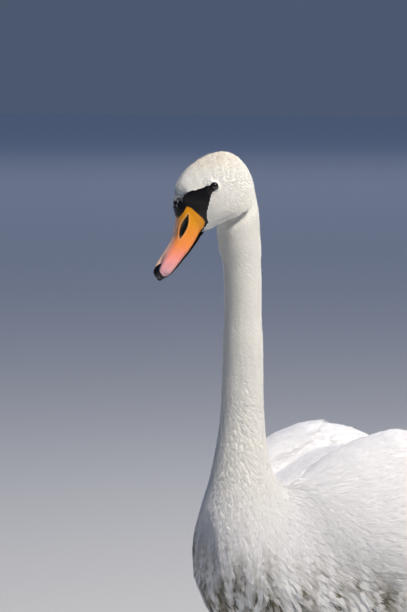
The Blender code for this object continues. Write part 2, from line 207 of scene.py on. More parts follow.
def refine(mesh, chosen):
    # cuts every chosen edge in two and fills its faces
    with editing(mesh) as work:
        work.verts.ensure_lookup_table()
        edges = [e for e in work.edges if chosen[e.verts[0].index] and chosen[e.verts[1].index]]
        bmesh.ops.subdivide_edges(work, edges=edges, cuts=1, use_grid_fill=True)


def unit(vectors):
    return vectors / (np.linalg.norm(vectors, axis=1)[:, None] + 1e-12)


def onSurface(vectors, normals):
    return unit(vectors - normals * (vectors * normals).sum(axis=1)[:, None])


def smoothStep(low, high, values):
    part = np.clip((values - low) / (high - low), 0.0, 1.0)
    return part * part * (3 - 2 * part)


def bell(values, wide):
    return np.exp(-(values / wide) ** 2)


def lumps(points, size, seed=0):
    # soft random waves about one size long, from -1 to 1
    rng = np.random.default_rng(seed)
    total = np.zeros(len(points))
    for _ in range(9):
        way = rng.normal(size=3)
        way *= 2 * math.pi / size * rng.uniform(0.6, 1.5) / np.linalg.norm(way)
        total += np.sin(points @ way + rng.uniform(0, 2 * math.pi))
    return np.clip(total / 4.2, -1, 1)


# The head has a frame of its own: ahead, above and across in millimetres, measured from a
# point between the eyes and a little behind them. Outlines on it are (ahead, above), but for
# tongue and specks, which are (across, above): where the skin and the feathers end on the knob.
face = dict(
    eye=(2.0, 2.1),
    ring=(2.8, 2.3),
    eyeRing=4.5,
    bare=((2.0, 6.8), (6.1, 5.1), (11.6, 2.1), (16.7, -1.1), (21.8, -2.5), (26.8, -4.1), (31.9, -6.0),
          (36.6, -8.5), (39.5, -11.8), (43.0, -13.5), (60.0, -13.0), (95.0, -125.0), (46.0, -125.0),
          (13.5, -55.5), (10.6, -48.0), (8.6, -42.6), (9.9, -38.5), (11.4, -33.5), (11.3, -26.5),
          (9.9, -18.9), (8.2, -11.2), (6.0, -5.0), (2.0, -2.4)),
    orange=((32.8, -22.6), (28.2, -24.6), (24.2, -28.9), (19.2, -33.3), (14.6, -37.3), (11.4, -41.8),
            (11.8, -47.9), (14.9, -54.5), (30.0, -80.0), (60.0, -128.0), (92.0, -118.0), (60.0, -50.0),
            (47.0, -43.5), (43.7, -39.6), (40.6, -36.9), (38.4, -34.0), (35.5, -28.9)),
    hornRoot=((38.3, -5.2), (11.2, -53.6)),
    tongue=((0, 40), (30, 40), (16.0, -6.0), (12.0, -7.5), (8.0, -9.5), (0, -11.0)),
    specks=((0, 40), (30, 40), (16.0, -6.0), (13.0, -10.0), (11.5, -14.0), (10.0, -19.0),
            (6.5, -24.5), (0, -29)),
    nostril=((32.0, -33.5), (36.0, -47.0), (41.4, -62.5)),
    nostrilHalf=3.3,
    nailTop=-92.5,
    nailTall=13.0,
    nailHalf=10.0,
    edgeLine=0.7,
    cheekLine=((-1.0, -48.5), (-7.4, -45.0), (-14.0, -41.0), (-21.0, -37.2), (-31.0, -32.6),
               (-41.0, -27.6), (-47.0, -22.2), (-51.0, -16.5), (-57.0, -4.0), (-61.0, 6.0)),
)


def nodeMiddle(name):
    low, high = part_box(name)
    return (np.array(low) + np.array(high)) / 2


eyeLeft, eyeRight = nodeMiddle("eye_left"), nodeMiddle("eye_right")
headAcross = (eyeLeft - eyeRight) / np.linalg.norm(eyeLeft - eyeRight)
headUp = np.array((0.0, 0.0, 1.0))
headAhead = np.cross(headAcross, headUp)
headAhead *= np.sign(headAhead @ (nodeMiddle("bill_upper") - eyeLeft))
headOrigin = (eyeLeft + eyeRight) / 2 - (headAhead * face["eye"][0] + headUp * face["eye"][1]) * mm
neckMiddle = nodeMiddle("neck_upper")


def isOn(owner, *names):
    # true where the nearest flesh node, given by its number, is one of these
    return np.isin(owner, [fleshNames.index(name) for name in names])


def wingShare(points):
    # 0 at the front of the folded wing, 1 at its tip
    low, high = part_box("wing_left")
    return np.clip((points[:, 1] - low.y) / (high.y - low.y), 0, 1)


def inHead(points):
    away = (points - headOrigin) / mm
    return away @ headAhead, away @ headUp, away @ headAcross


def eyeDistance(points):
    # millimetres from the line through both eyes, on the sides of the head only
    ahead, above, across = inHead(points)
    far = np.hypot(ahead - face["ring"][0], above - face["ring"][1])
    return np.where(np.abs(across) < 15, 99.0, far)


def outlineDistance(first, second, outline):
    # distance to a closed outline in millimetres, positive inside it
    here = np.stack((first, second), axis=1)
    corners = np.array(outline, float)
    best = np.full(len(here), 1e9)
    inside = np.zeros(len(here), bool)
    for a, b in zip(corners, np.roll(corners, -1, axis=0)):
        side = b - a
        part = np.clip(((here - a) @ side) / (side @ side), 0, 1)
        best = np.minimum(best, np.linalg.norm(here - a - part[:, None] * side, axis=1))
        crosses = (a[1] > here[:, 1]) != (b[1] > here[:, 1])
        rise = b[1] - a[1] if b[1] != a[1] else 1e-9
        inside ^= crosses & (here[:, 0] < a[0] + (here[:, 1] - a[1]) * (b[0] - a[0]) / rise)
    return np.where(inside, best, -best)


def lineDistance(first, second, line):
    # distance to an open line, how far along it the nearest place is, and on which side
    here = np.stack((first, second), axis=1)
    corners = np.array(line, float)
    best = np.full(len(here), 1e9)
    where, side = np.zeros(len(here)), np.zeros(len(here))
    for k, (a, b) in enumerate(zip(corners, corners[1:])):
        run = b - a
        part = np.clip(((here - a) @ run) / (run @ run), 0, 1)
        off = here - a - part[:, None] * run
        far = np.linalg.norm(off, axis=1)
        closer = far < best
        best = np.where(closer, far, best)
        where = np.where(closer, (k + part) / (len(corners) - 1), where)
        side = np.where(closer, np.sign(run[0] * off[:, 1] - run[1] * off[:, 0]), side)
    return best, where, side


def bareness(points, point="tongue"):
    # positive on the bare black and orange skin, negative among the feathers
    ahead, above, across = inHead(points)
    patch = outlineDistance(ahead, above, face["bare"])
    # feathers run down the middle of the forehead to a point over the knob
    tongue = outlineDistance(np.abs(across), above, face[point])
    patch = np.where(ahead > 30, np.minimum(patch, -tongue), patch)
    near = np.maximum(patch, face["eyeRing"] - eyeDistance(points))
    return np.where(ahead < -12, -99.0, near)


def hornGap(ahead, above):
    # millimetres in front of the line where the horn starts, from the brow to the gape
    top, gape = (np.array(end) for end in face["hornRoot"])
    run = (gape - top) / np.linalg.norm(gape - top)
    return (above - top[1]) * run[0] - (ahead - top[0]) * run[1]


def markings(points):
    # worked out from place alone, so that skin, horn and feathers carry the same ones
    ahead, above, across = inHead(points)
    onHead = smoothStep(-75, -30, above)
    crown = onHead * smoothStep(10, 36, above + 0.10 * ahead) * (0.35 + 0.65 * smoothStep(-58, -10, ahead))
    aside = np.hypot(points[:, 0] - neckMiddle[0], points[:, 1] - neckMiddle[1]) / mm
    onNeck = smoothStep(75, 40, aside) * smoothStep(0.33, 0.50, points[:, 2])
    # greyer towards the bottom of the body, and starting higher on the bird's right side, which faces away
    # from the key lamp: partly dirt, partly painted shade
    low = smoothStep(0.43, 0.31, points[:, 2] + 0.35 * points[:, 0])
    low *= smoothStep(0.10, -0.20, points[:, 1])
    streaks = lumps(points * (1.0, 1.0, 0.35), 0.017, 31) + 0.7 * lumps(points, 0.006, 32)
    return {
        "bare": bareness(points),
        "orange": outlineDistance(ahead, above, face["orange"]),
        "along": np.clip((-above - 26) / 84 + 0.16 * bell(across, 7.0), 0, 1),
        "pale": np.zeros(len(points)),
        "buff": crown,
        "cream": np.clip(0.10 + 0.9 * np.maximum(onHead, onNeck), 0, 1),
        "mud": low * smoothStep(-0.8, 0.8, streaks),
        "tone": np.full(len(points), 0.3),
    }


def linear(hexText):
    channels = [int(hexText[k:k + 2], 16) / 255 for k in (0, 2, 4)]
    return (*[c / 12.92 if c <= 0.04045 else ((c + 0.055) / 1.055) ** 2.4 for c in channels], 1.0)


def liveSocket(source):
    # a node stands for its first live output
    if isinstance(source, bpy.types.NodeSocket):
        return source
    return next(output for output in source.outputs if output.enabled)


def addNode(tree, kind, settings=None, **links):
    # settings are properties or socket values; colours are hex text and stops fill a ramp;
    # links are sockets by number or name
    node = tree.nodes.new(kind)
    for key, value in (settings or {}).items():
        if key == "stops":
            bars = node.color_ramp.elements
            while len(bars) < len(value):
                bars.new(0.5)
            for bar, (place, colour) in zip(bars, value):
                bar.position, bar.color = place, linear(colour)
        elif isinstance(key, str) and hasattr(node, key):
            setattr(node, key, value)
        else:
            socket = node.inputs[key]
            isHex = isinstance(value, str) and socket.type == "RGBA"
            socket.default_value = linear(value) if isHex else value
    for key, source in links.items():
        target = node.inputs[int(key[2:])] if key.startswith("at") else node.inputs[key.replace("_", " ")]
        tree.links.new(liveSocket(source), target)
    return node


def startMaterial(name, wanted="", **sockets):
    # wanted names the painted values that it reads
    material = bpy.data.materials.new(name)
    material.use_nodes = True
    tree = material.node_tree
    for key, value in sockets.items():
        tree.nodes["Principled BSDF"].inputs[key.replace("_", " ")].default_value = value
    place = addNode(tree, "ShaderNodeTexCoord").outputs["Object"]
    marks = [addNode(tree, "ShaderNodeAttribute", {"attribute_name": mark}).outputs["Fac"]
             for mark in wanted.split()]
    return material, tree, place, *marks


def finishMaterial(tree, colour, height=None, strength=0.3, depth=0.5 * mm):
    shader = tree.nodes["Principled BSDF"]
    tree.links.new(liveSocket(colour), shader.inputs["Base Color"])
    if height is not None:
        bump = addNode(tree, "ShaderNodeBump", {"Strength": strength, "Distance": depth}, Height=height)
        tree.links.new(bump.outputs[0], shader.inputs["Normal"])


mixKind = "ShaderNodeMix"
mathKind = "ShaderNodeMath"
noiseKind = "ShaderNodeTexNoise"
rampKind = "ShaderNodeValToRGB"


def plumage(name, vanes=False):
    # unpigmented keratin: white because its foam scatters light, soft, with almost no shine;
    # pond water stains it buff on the crown and neck; low on the breast and belly, and higher on the bird's
    # right side, it goes grey-olive with dirt and with painted shade
    material, tree, place, tone, cream, buff, mud = startMaterial(
        name, "tone cream buff mud", Roughness=0.8, Specular_IOR_Level=0.2, Sheen_Weight=0.1,
        Sheen_Roughness=0.6, Subsurface_Weight=0.35, Subsurface_Radius=(1.0, 0.95, 0.9),
        Subsurface_Scale=0.004)
    patchy = addNode(tree, noiseKind, {"Scale": 55.0, "Detail": 3.0}, Vector=place)   # blotches of 18 mm
    grain = addNode(tree, noiseKind, {"Scale": 260.0, "Detail": 3.0}, Vector=place)   # streaks of 4 mm
    dim = addNode(tree, mathKind, {"operation": "MULTIPLY", 1: 0.5}, at0=tone)
    white = addNode(tree, mixKind, {"data_type": "RGBA", 6: "f7f7fa", 7: "e8eaef"}, at0=dim)
    warm = addNode(tree, mathKind, {"operation": "MULTIPLY", 1: 0.6}, at0=cream)
    creamy = addNode(tree, mixKind, {"data_type": "RGBA", 7: "f4f3ea"}, at0=warm, at6=white)
    spots = addNode(tree, mathKind, {"operation": "MULTIPLY"}, at0=buff, at1=grain)
    buffed = addNode(tree, mixKind, {"data_type": "RGBA", 7: "cfb98a"}, at0=spots, at6=creamy)
    # grey-olive blotches low on the body: partly dirt, partly painted shade on the underside and on the
    # shaded right side
    mudAndShadeBlotches = addNode(tree, mathKind, {"operation": "MULTIPLY"}, at0=mud, at1=patchy)
    mudAndShadeAmount = addNode(tree, mathKind, {"operation": "MULTIPLY", 1: 2.5, "use_clamp": True}, at0=mudAndShadeBlotches)
    colour = addNode(tree, mixKind, {"data_type": "RGBA", 7: "686350"}, at0=mudAndShadeAmount, at6=buffed)
    if not vanes:
        down = addNode(tree, noiseKind, {"Scale": 800.0, "Detail": 2.0}, Vector=place)   # fluff of 1.2 mm
        finishMaterial(tree, colour, down, 0.25)
        return material
    # barbs run out from the shaft; real ones are 0.3 mm apart, drawn five times as coarse to show
    vane = addNode(tree, "ShaderNodeUVMap", {"uv_map": "vane"})
    split = addNode(tree, "ShaderNodeSeparateXYZ", at0=vane)
    off = addNode(tree, mathKind, {"operation": "SUBTRACT", 1: 0.5}, at0=split.outputs[0])
    away = addNode(tree, mathKind, {"operation": "ABSOLUTE"}, at0=off)
    slope = addNode(tree, mathKind, {"operation": "MULTIPLY_ADD", 1: -0.35}, at0=away, at2=split.outputs[1])
    wave = addNode(tree, mathKind, {"operation": "MULTIPLY", 1: 2 * math.pi * 40}, at0=slope)
    barbs = addNode(tree, mathKind, {"operation": "SINE"}, at0=wave)
    finishMaterial(tree, colour, barbs, 0.18, 0.2 * mm)
    return material


def bareMaterial(name, roughness, pebble, coat):
    # black skin and orange horn share their colours, so that no seam shows where they meet
    material, tree, place, orange, along, pale = startMaterial(
        name, "orange along pale", Roughness=roughness, IOR=1.45, Specular_IOR_Level=0.4,
        Coat_Weight=coat, Coat_Roughness=0.25)
    # blotches of 6 mm
    blotch = addNode(tree, noiseKind, {"Scale": 160.0, "Detail": 4.0, "Roughness": 0.6}, Vector=place)
    fine = addNode(tree, noiseKind, {"Scale": 700.0, "Detail": 2.0}, Vector=place)   # pits of 1.4 mm
    wander = addNode(tree, mathKind, {"operation": "MULTIPLY_ADD", 1: 0.16, 2: -0.08}, at0=blotch)
    shifted = addNode(tree, mathKind, {"operation": "ADD"}, at0=along, at1=wander)
    horn = addNode(tree, rampKind, {"stops": (
        (0.0, "e69a08"), (0.20, "ec9c10"), (0.38, "f39434"), (0.54, "f59250"), (0.70, "f29488"),
        (0.86, "e6a6ae"), (1.0, "d4b0be"))}, at0=shifted)
    # the pale mark lightens the horn towards peach; on the upper bill's far side it is partly real colour,
    # partly painted light over the shade
    paleAndPaintedLight = addNode(tree, mixKind, {"data_type": "RGBA", 7: "ffd6ba"}, at0=pale, at6=horn)
    specks = addNode(tree, mathKind, {"operation": "MULTIPLY", 1: 0.2}, at0=fine)
    speckled = addNode(tree, mixKind, {"data_type": "RGBA", 7: "b5651c"}, at0=specks, at6=paleAndPaintedLight)
    black = addNode(tree, mixKind, {"data_type": "RGBA", 6: "040405", 7: "101012"}, at0=blotch)
    crisp = addNode(tree, "ShaderNodeMapRange", {1: -0.4, 2: 0.4}, at0=orange)
    both = addNode(tree, mixKind, {"data_type": "RGBA"}, at0=crisp, at6=black, at7=speckled)
    if pebble:
        height = addNode(tree, "ShaderNodeTexVoronoi", {"Scale": pebble}, Vector=place)
    else:
        height = addNode(tree, mathKind, {"operation": "MULTIPLY_ADD", 1: 0.5}, at0=fine, at2=blotch)
    finishMaterial(tree, both, height)
    return material


def eyeGlass():
    # the eye: a wet clear cornea over a nearly black iris
    material, tree, _, tone = startMaterial(
        "wet dark eye", "tone", Roughness=0.04, IOR=1.376, Coat_Weight=1.0, Coat_Roughness=0.02)
    finishMaterial(tree, addNode(tree, rampKind, {"stops": (
        (0.0, "040404"), (0.44, "050404"), (0.52, "24140e"), (0.86, "180e0a"), (1.0, "050505"))}, at0=tone))
    return material


def legSkin():
    # leathery scaled skin: blackish grey, dull, dusty in the creases between the scales
    material, tree, place, pale = startMaterial("scaled leg skin", "pale", Roughness=0.55, IOR=1.45)
    # blotches of 11 mm
    blotch = addNode(tree, noiseKind, {"Scale": 90.0, "Detail": 4.0, "Roughness": 0.6}, Vector=place)
    grey = addNode(tree, mixKind, {"data_type": "RGBA", 6: "1f2022", 7: "3a3a3c"}, at0=blotch)
    dusty = addNode(tree, mixKind, {"data_type": "RGBA", 7: "5d5850"}, at0=pale, at6=grey)
    pebbles = addNode(tree, "ShaderNodeTexVoronoi", {"Scale": 900.0}, Vector=place)   # scales of 1.1 mm
    finishMaterial(tree, dusty, pebbles, depth=0.4 * mm)
    return material


def clawHorn():
    # claw keratin: black and smooth, worn dull at the point
    material, tree, place = startMaterial("black claw keratin", Roughness=0.32, IOR=1.55)
    grain = addNode(tree, noiseKind, {"Scale": 500.0, "Detail": 3.0}, Vector=place)   # scratches of 2 mm
    finishMaterial(tree, addNode(tree, mixKind, {"data_type": "RGBA", 6: "121110", 7: "2c2926"}, at0=grain))
    return material


# Metres, but for lidOpen, which is in millimetres; the last line counts rounds of smoothing.
skinSizes = dict(voxel=0.0034, swell=0.0005, foldDeep=0.0095, cheekOut=0.0030, lidOpen=3.6, lidOut=0.0006,
                 lidIn=0.0034, lidGroove=0.0003, underHorn=0.0042, overKnob=0.0002, browOut=0.0036,
                 browRise=0.0016, rootIn=0.0012, neckLean=0.0030, throat=0.762, throatReach=0.036,
                 throatWay=(0.766, 0.643, 0.0), thickest=0.08,
                 rounds=9, joinRounds=90, wingRounds=200, creaseRounds=90, notchRounds=130, evenRounds=50)
coatDepth = dict(head=0.0008, neck_upper=0.0034, neck_middle=0.0019, neck_lower=0.0019,
                 breast=0.0024, trunk=0.0034, tail=0.0030, wing_left=0.0034, wing_right=0.0034,
                 thigh_left=0.0030, thigh_right=0.0030)


def distanceFrom(name, points):
    # millimetres to a node's surface
    mesh = mergedMesh(name)
    tree = surfaceOf(readPoints(mesh), readTriangles(mesh))
    bpy.data.meshes.remove(mesh)
    return np.array([tree.find_nearest(p)[3] for p in points.tolist()]) / mm


def fleshFinder():
    # tells which flesh node lies nearest to a point
    corners, faces, owner = [], [], []
    for number, name in enumerate(fleshNames):
        mesh = mergedMesh(name)
        triangles = readTriangles(mesh) + len(corners)
        corners.extend(readPoints(mesh).tolist())
        faces.extend(triangles.tolist())
        owner.extend([number] * len(triangles))
        bpy.data.meshes.remove(mesh)
    tree = BVHTree.FromPolygons(corners, faces)
    return lambda points: np.array([owner[tree.find_nearest(point)[2]] for point in points.tolist()])


def thicknessInside(mesh, points, normals):
    # how far it is through the flesh below each point
    tree, most = surfaceOf(points, readTriangles(mesh)), skinSizes["thickest"]
    hits = [tree.ray_cast(Vector(start), Vector(way), most)[3] for start, way in
            zip((points - normals * 0.0002).tolist(), (-normals).tolist())]
    return np.array([most if far is None else far for far in hits])


def fillHollows(mesh, weight, rounds):
    # raises hollows towards their surroundings and leaves the rest as it is
    points = readPoints(mesh)
    links = neighbours(mesh)
    for _ in range(rounds):
        writePoints(mesh, points)
        normals = readNormals(mesh)
        rise = ((spread(links, points, 1, 1.0) - points) * normals).sum(axis=1)
        points += normals * (np.maximum(rise, 0.0) * weight)[:, None]
    writePoints(mesh, points)


def evenShading(mesh, base, even):
    # where horn and face meet, the light runs over both as over one round surface
    ahead, above, across = inHead(readPoints(mesh))
    gap = hornGap(ahead, above)
    share = smoothStep(-20, -9, gap) * smoothStep(22, 8, gap) * smoothStep(5, 9, np.abs(across))
    share *= smoothStep(-14, -24, above) * smoothStep(-64, -54, above)
    shaded = unit(readNormals(mesh) + share[:, None] * (even - base))
    mesh.normals_split_custom_set_from_vertices(shaded.tolist())


def shapeFace(points, normals):
    # the full cheek and its sharp fold against the neck, then the lids
    ahead, above, across = inHead(points)
    far, where, side = lineDistance(ahead, above, face["cheekLine"])
    signed = far * -side
    onSide = smoothStep(4, 12, np.abs(across)) * (ahead < 20) * smoothStep(1.0, 0.66, where)
    inside = smoothStep(-1.3, 1.3, signed)
    cheek = inside * bell(signed, 13.0) * skinSizes["cheekOut"]
    fold = (1 - inside) * bell(signed, 11.0) * skinSizes["foldDeep"]
    move = (cheek - fold) * onSide
    # behind the root of the horn the face widens slowly
    gap = hornGap(ahead, above)
    sides = smoothStep(5, 9, np.abs(across)) * smoothStep(-16, -24, above) * smoothStep(-60, -52, above)
    move -= skinSizes["rootIn"] * bell(gap + 8, 6.0) * sides
    # the brow is full in front, where it meets the knob
    move += skinSizes["browRise"] * bell(above + 2, 13.0) * smoothStep(26, 38, ahead)
    move += skinSizes["browOut"] * bell(above - 5, 24.0) * smoothStep(0.1, 0.8, normals @ headAhead)

    # a lid is a rounded rim about the eye's opening, drawn out a little at its two corners
    forward, upright = ahead - face["ring"][0], above - face["ring"][1]
    ring = np.hypot((forward * 0.93 - upright * 0.36) / 1.12, forward * 0.36 + upright * 0.93)
    rim = np.where(np.abs(across) < 18, 99.0, ring - skinSizes["lidOpen"])
    move += skinSizes["lidOut"] * bell(rim - 1.2, 1.1)
    move -= skinSizes["lidIn"] * smoothStep(0.25, -0.55, rim)
    move -= skinSizes["lidGroove"] * bell(rim - 3.4, 0.8)
    return points + normals * move[:, None]


def joinFlesh(mesh):
    # the breast runs into the front of the folded wings without a step
    points = readPoints(mesh)
    joined = smoothStep(0.30, 0.14, wingShare(points)) * smoothStep(0.20, 0.26, points[:, 2])
    joined *= smoothStep(-0.31, -0.27, points[:, 1]) * smoothStep(0.04, 0.06, np.abs(points[:, 0]))
    evenOut(points, neighbours(mesh), joined, skinSizes["joinRounds"])
    # under the head the neck leans towards the throat
    lean = skinSizes["neckLean"] * bell(points[:, 2] - skinSizes["throat"], skinSizes["throatReach"])
    lean *= smoothStep(-8, -30, inHead(points)[0])
    points -= lean[:, None] * skinSizes["throatWay"]
    writePoints(mesh, points)
    fillHollows(mesh, joined, skinSizes["wingRounds"])
    ahead, above, _ = inHead(readPoints(mesh))
    refine(mesh, (np.hypot(ahead, above + 8) < 62) & (above > -60))   # finer over the face
    relax(mesh, 3, smoothStep(-90, -70, inHead(readPoints(mesh))[1]))
    # knob, horn and face run together without a crease
    points = readPoints(mesh)
    ahead, above, _ = inHead(points)
    upward = smoothStep(-0.90, -0.75, readNormals(mesh)[:, 2])
    root = smoothStep(13, 7, np.abs(hornGap(ahead, above))) * smoothStep(6, 11, ahead)
    root *= smoothStep(-58, -52, above)
    crease = np.maximum(smoothStep(8, 4, distanceFrom("knob", points)) * smoothStep(-36, -30, above), root)
    fillHollows(mesh, crease * upward, skinSizes["creaseRounds"])
    for wide in (14.0, 9.0):   # and finer again round the eyes
        refine(mesh, eyeDistance(readPoints(mesh)) < wide)
    relax(mesh, 4, smoothStep(16, 10, eyeDistance(readPoints(mesh))))


def skinDepth(mesh, points, normals, nearKnob):
    # how deep the skin lies below the outer shape
    deep = np.array([coatDepth[name] for name in fleshNames])[fleshFinder()(points)]
    deep *= smoothStep(2.0, -6.0, bareness(points))
    deep = np.minimum(deep, np.maximum(0.28 * thicknessInside(mesh, points, normals) - 0.3 * mm, 0.0))
    deep = spread(neighbours(mesh), deep, 14, 0.5)   # it changes softly from one stretch to the next
    # it lies deep under the horn of the bill, but draws over the knob as a thin skin
    ahead, above, _ = inHead(points)
    onKnob = smoothStep(3.6, 1.6, nearKnob) * smoothStep(-39.5, -36.5, above)
    underHorn = smoothStep(0.5, 6.0, hornGap(ahead, above)) * smoothStep(4, 9, ahead) * (1 - onKnob)
    deep = (deep + skinSizes["swell"]) * (1 - onKnob) - skinSizes["overKnob"] * onKnob
    return deep + skinSizes["underHorn"] * spread(neighbours(mesh), underHorn, 2)


def makeSkin(*materials):
    # every flesh node and the horn swell by half a millimetre, so that they run into each other
    mesh = bpy.data.meshes.new("skin")
    with editing(mesh) as whole:
        for name in [*fleshNames, "bill_upper", "knob", "eye_left", "eye_right"]:
            part = mergedMesh(name)
            writePoints(part, readPoints(part) + readNormals(part) * skinSizes["swell"])
            whole.from_mesh(part)
            bpy.data.meshes.remove(part)
    thing = addObject("skin", mesh)
    mesh = voxelMesh(thing, skinSizes["voxel"])
    relax(mesh, skinSizes["rounds"])
    joinFlesh(mesh)
    points, normals = readPoints(mesh), readNormals(mesh)
    # the horn of the bill rises to this surface where the face widens behind it
    cover = SimpleNamespace(tree=surfaceOf(points - normals * skinSizes["swell"], readTriangles(mesh)),
                            finder=pointFinder(points),
                            even=unit(spread(neighbours(mesh), normals, skinSizes["evenRounds"])))
    nearKnob = distanceFrom("knob", points)
    ahead, above, _ = inHead(points)
    writePoints(mesh, points - normals * skinDepth(mesh, points, normals, nearKnob)[:, None])
    writePoints(mesh, shapeFace(readPoints(mesh), readNormals(mesh)))
    notch = smoothStep(16, 8, nearKnob) * smoothStep(-36, -30, above) * smoothStep(26, 31, ahead)
    fillHollows(mesh, notch, skinSizes["notchRounds"])
    mesh.shade_smooth()
    evenShading(mesh, readNormals(mesh), cover.even)
    marks = markings(readPoints(mesh))
    setValues(mesh, **marks)
    dress(mesh, *materials)
    for polygon in mesh.polygons:
        where = list(polygon.vertices)
        if marks["bare"][where].max() > -0.4:
            polygon.material_index = 2 if marks["orange"][where].max() > -1.5 else 1
    say(f"skin, {len(readTriangles(mesh))} triangles")
    return thing, cover


hornSizes = dict(voxel=0.0008, reach=0.004, lowerReach=0.003, nostrilDeep=0.0026, nailRise=0.0005,
                 rim=0.00035, waves=0.00012, mostRise=0.006, flatTip=0.0046, broadTip=0.0014, softRounds=60,
                 closed=0.0018, knobVoxel=0.0007, knobSunk=0.0013, knobWaves=0.0002, cornea=0.0005)


def fineCopy(name, voxel, rounds, *materials):
    thing = addObject(name + "_fine", mergedMesh(name))
    mesh = voxelMesh(thing, voxel)
    relax(mesh, rounds)
    mesh.shade_smooth()
    dress(mesh, *materials)
    return thing, mesh, readPoints(mesh), readNormals(mesh)


def makeUpperBill(material, cover):
    thing, mesh, points, normals = fineCopy("bill_upper", hornSizes["voxel"], 6, material)
    ahead, above, across = inHead(points)
    links = neighbours(mesh)
    rise = [cover.tree.ray_cast(Vector(p), Vector(n), hornSizes["mostRise"])[3] or 0.0
            for p, n in zip((points - normals * 0.0003).tolist(), normals.tolist())]
    rise = np.maximum(spread(links, np.array(rise), 8) - 0.0003, 0.0)
    rise *= smoothStep(24, 14, hornGap(ahead, above))
    points += normals * (rise * smoothStep(-60, -52, above))[:, None]

    # its sides run into its top without an edge
    edge = distanceFrom("bill_lower", points)
    soft = smoothStep(2.0, 5.0, edge) * smoothStep(-70, -58, above)
    evenOut(points, links, soft, hornSizes["softRounds"])
    writePoints(mesh, points)
    normals = readNormals(mesh)
    even = unit(np.array([np.mean([cover.even[k] for _, k, _ in cover.finder.find_n(p, 5)], axis=0)
                          for p in points.tolist()]))

    # the tip is flat on top and as broad as a spoon
    towardsTip = 0.35 * smoothStep(-42, -58, above) + 0.65 * smoothStep(-80, -94, above)
    towardsTip *= smoothStep(-0.1, 0.3, normals @ headAhead)
    flat = hornSizes["flatTip"] * bell(across, 6.0) - hornSizes["broadTip"] * bell(np.abs(across) - 9, 3.5)
    flat = np.minimum(flat, 0.5 * thicknessInside(mesh, points, normals))
    points -= headAhead * (flat * towardsTip)[:, None]

    # nostril: a long spindle slot, sunk, with a soft rim
    far, where, _ = lineDistance(ahead, above, face["nostril"])
    half = face["nostrilHalf"] * np.sin(math.pi * np.clip(where, 0.04, 0.985)) ** 0.75
    hole = np.where(np.abs(across) < 4, -9.0, half - far)
    move = -hornSizes["nostrilDeep"] * smoothStep(-0.5, 2.2, hole)
    move += hornSizes["rim"] * bell(hole + 1.1, 0.9)

    # nail: a hard shield on the tip, just proud of the horn round it
    below = face["nailTop"] - above
    nail = face["nailHalf"] * np.sqrt(np.clip(below / face["nailTall"], 0, 1)) - np.abs(across)
    nail = np.where(ahead < 46, -9.0, np.minimum(nail, below))
    move += hornSizes["nailRise"] * smoothStep(-0.6, 0.9, nail) - 0.0003 * bell(nail + 0.9, 0.5)

    # the cutting edge turns out in a fine lip
    move += hornSizes["rim"] * bell(edge - 2.3, 0.8) + hornSizes["waves"] * lumps(points, 0.012, 4)
    points = points + normals * move[:, None]

    # the root runs back into the head, so that skin and horn meet with no gap
    points -= headAhead * (hornSizes["reach"] * smoothStep(3.0, -1.0, hornGap(ahead, above)))[:, None]
    writePoints(mesh, points)
    marks = markings(points)
    # the nail and the cutting edge are black horn; the nostril's slot is painted black as painted shade
    # inside the open hole
    black = np.maximum.reduce((hole, nail, face["edgeLine"] - edge))
    marks["orange"] = np.minimum(marks["orange"], -black)
    # the ridge and the far side of the upper bill are lightened towards peach: partly the bill's own pale
    # band, partly painted light that lifts the far side out of its shade; a pale line also runs inside the
    # cutting edge and round the nostril
    marks["pale"] = smoothStep(9, -4, across) * smoothStep(-28, -42, above) + 0.4 * bell(edge - 2.6, 1.0)
    marks["pale"] += 0.2 * bell(hole + 1.0, 0.8)
    setValues(mesh, **marks)
    evenShading(mesh, normals, even)
    return thing


def makeLowerBill(material):
    thing, mesh, points, _ = fineCopy("bill_lower", hornSizes["voxel"], 4, material)
    ahead, above, _ = inHead(points)
    points += headAhead * (hornSizes["closed"] * smoothStep(-54, -62, above))[:, None]   # the bill is shut
    points -= headAhead * (hornSizes["lowerReach"] * smoothStep(4.0, -1.0, hornGap(ahead, above)))[:, None]
    writePoints(mesh, points)
    setValues(mesh, orange=np.full(len(points), -5.0))
    return thing


def makeKnob(material):
    # its rim sinks into the skin, so that the two run together
    thing, mesh, points, normals = fineCopy("knob", hornSizes["knobVoxel"], 5, material)
    near = np.minimum(distanceFrom("head", points), distanceFrom("bill_upper", points))
    sunk = hornSizes["knobSunk"] * smoothStep(2.2, 0.4, near)
    writePoints(mesh, points + normals * (hornSizes["knobWaves"] * lumps(points, 0.009, 7) - sunk)[:, None])
    setValues(mesh, orange=np.full(len(points), -5.0))
    return thing


def makeEye(name, material):
    # a ball with the cornea's bulge, turned so that its pole looks out of the head
    radius = (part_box(name)[1].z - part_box(name)[0].z) / 2
    out = headAcross * (1 if name == "eye_left" else -1)
    mesh = bpy.data.meshes.new(name + "_fine")
    with editing(mesh) as work:
        bmesh.ops.create_icosphere(work, subdivisions=4, radius=radius)
    points = readPoints(mesh)
    facing = points @ out / radius
    points += out * (hornSizes["cornea"] * smoothStep(0.72, 0.98, facing))[:, None]
    writePoints(mesh, points + nodeMiddle(name))
    # tone runs from the middle of the pupil to the rim of the iris, 46 degrees out
    setValues(mesh, tone=np.clip(np.degrees(np.arccos(np.clip(facing, -1, 1))) / 46, 0, 1))
    mesh.shade_smooth()
    return addObject(name + "_fine", mesh, material)


legSizes = dict(voxel=0.0011, scute=0.0042, scuteRise=0.0005, grain=0.0024, girth=0.0085, front=0.75,
                taper=0.6, tuck=0.005)


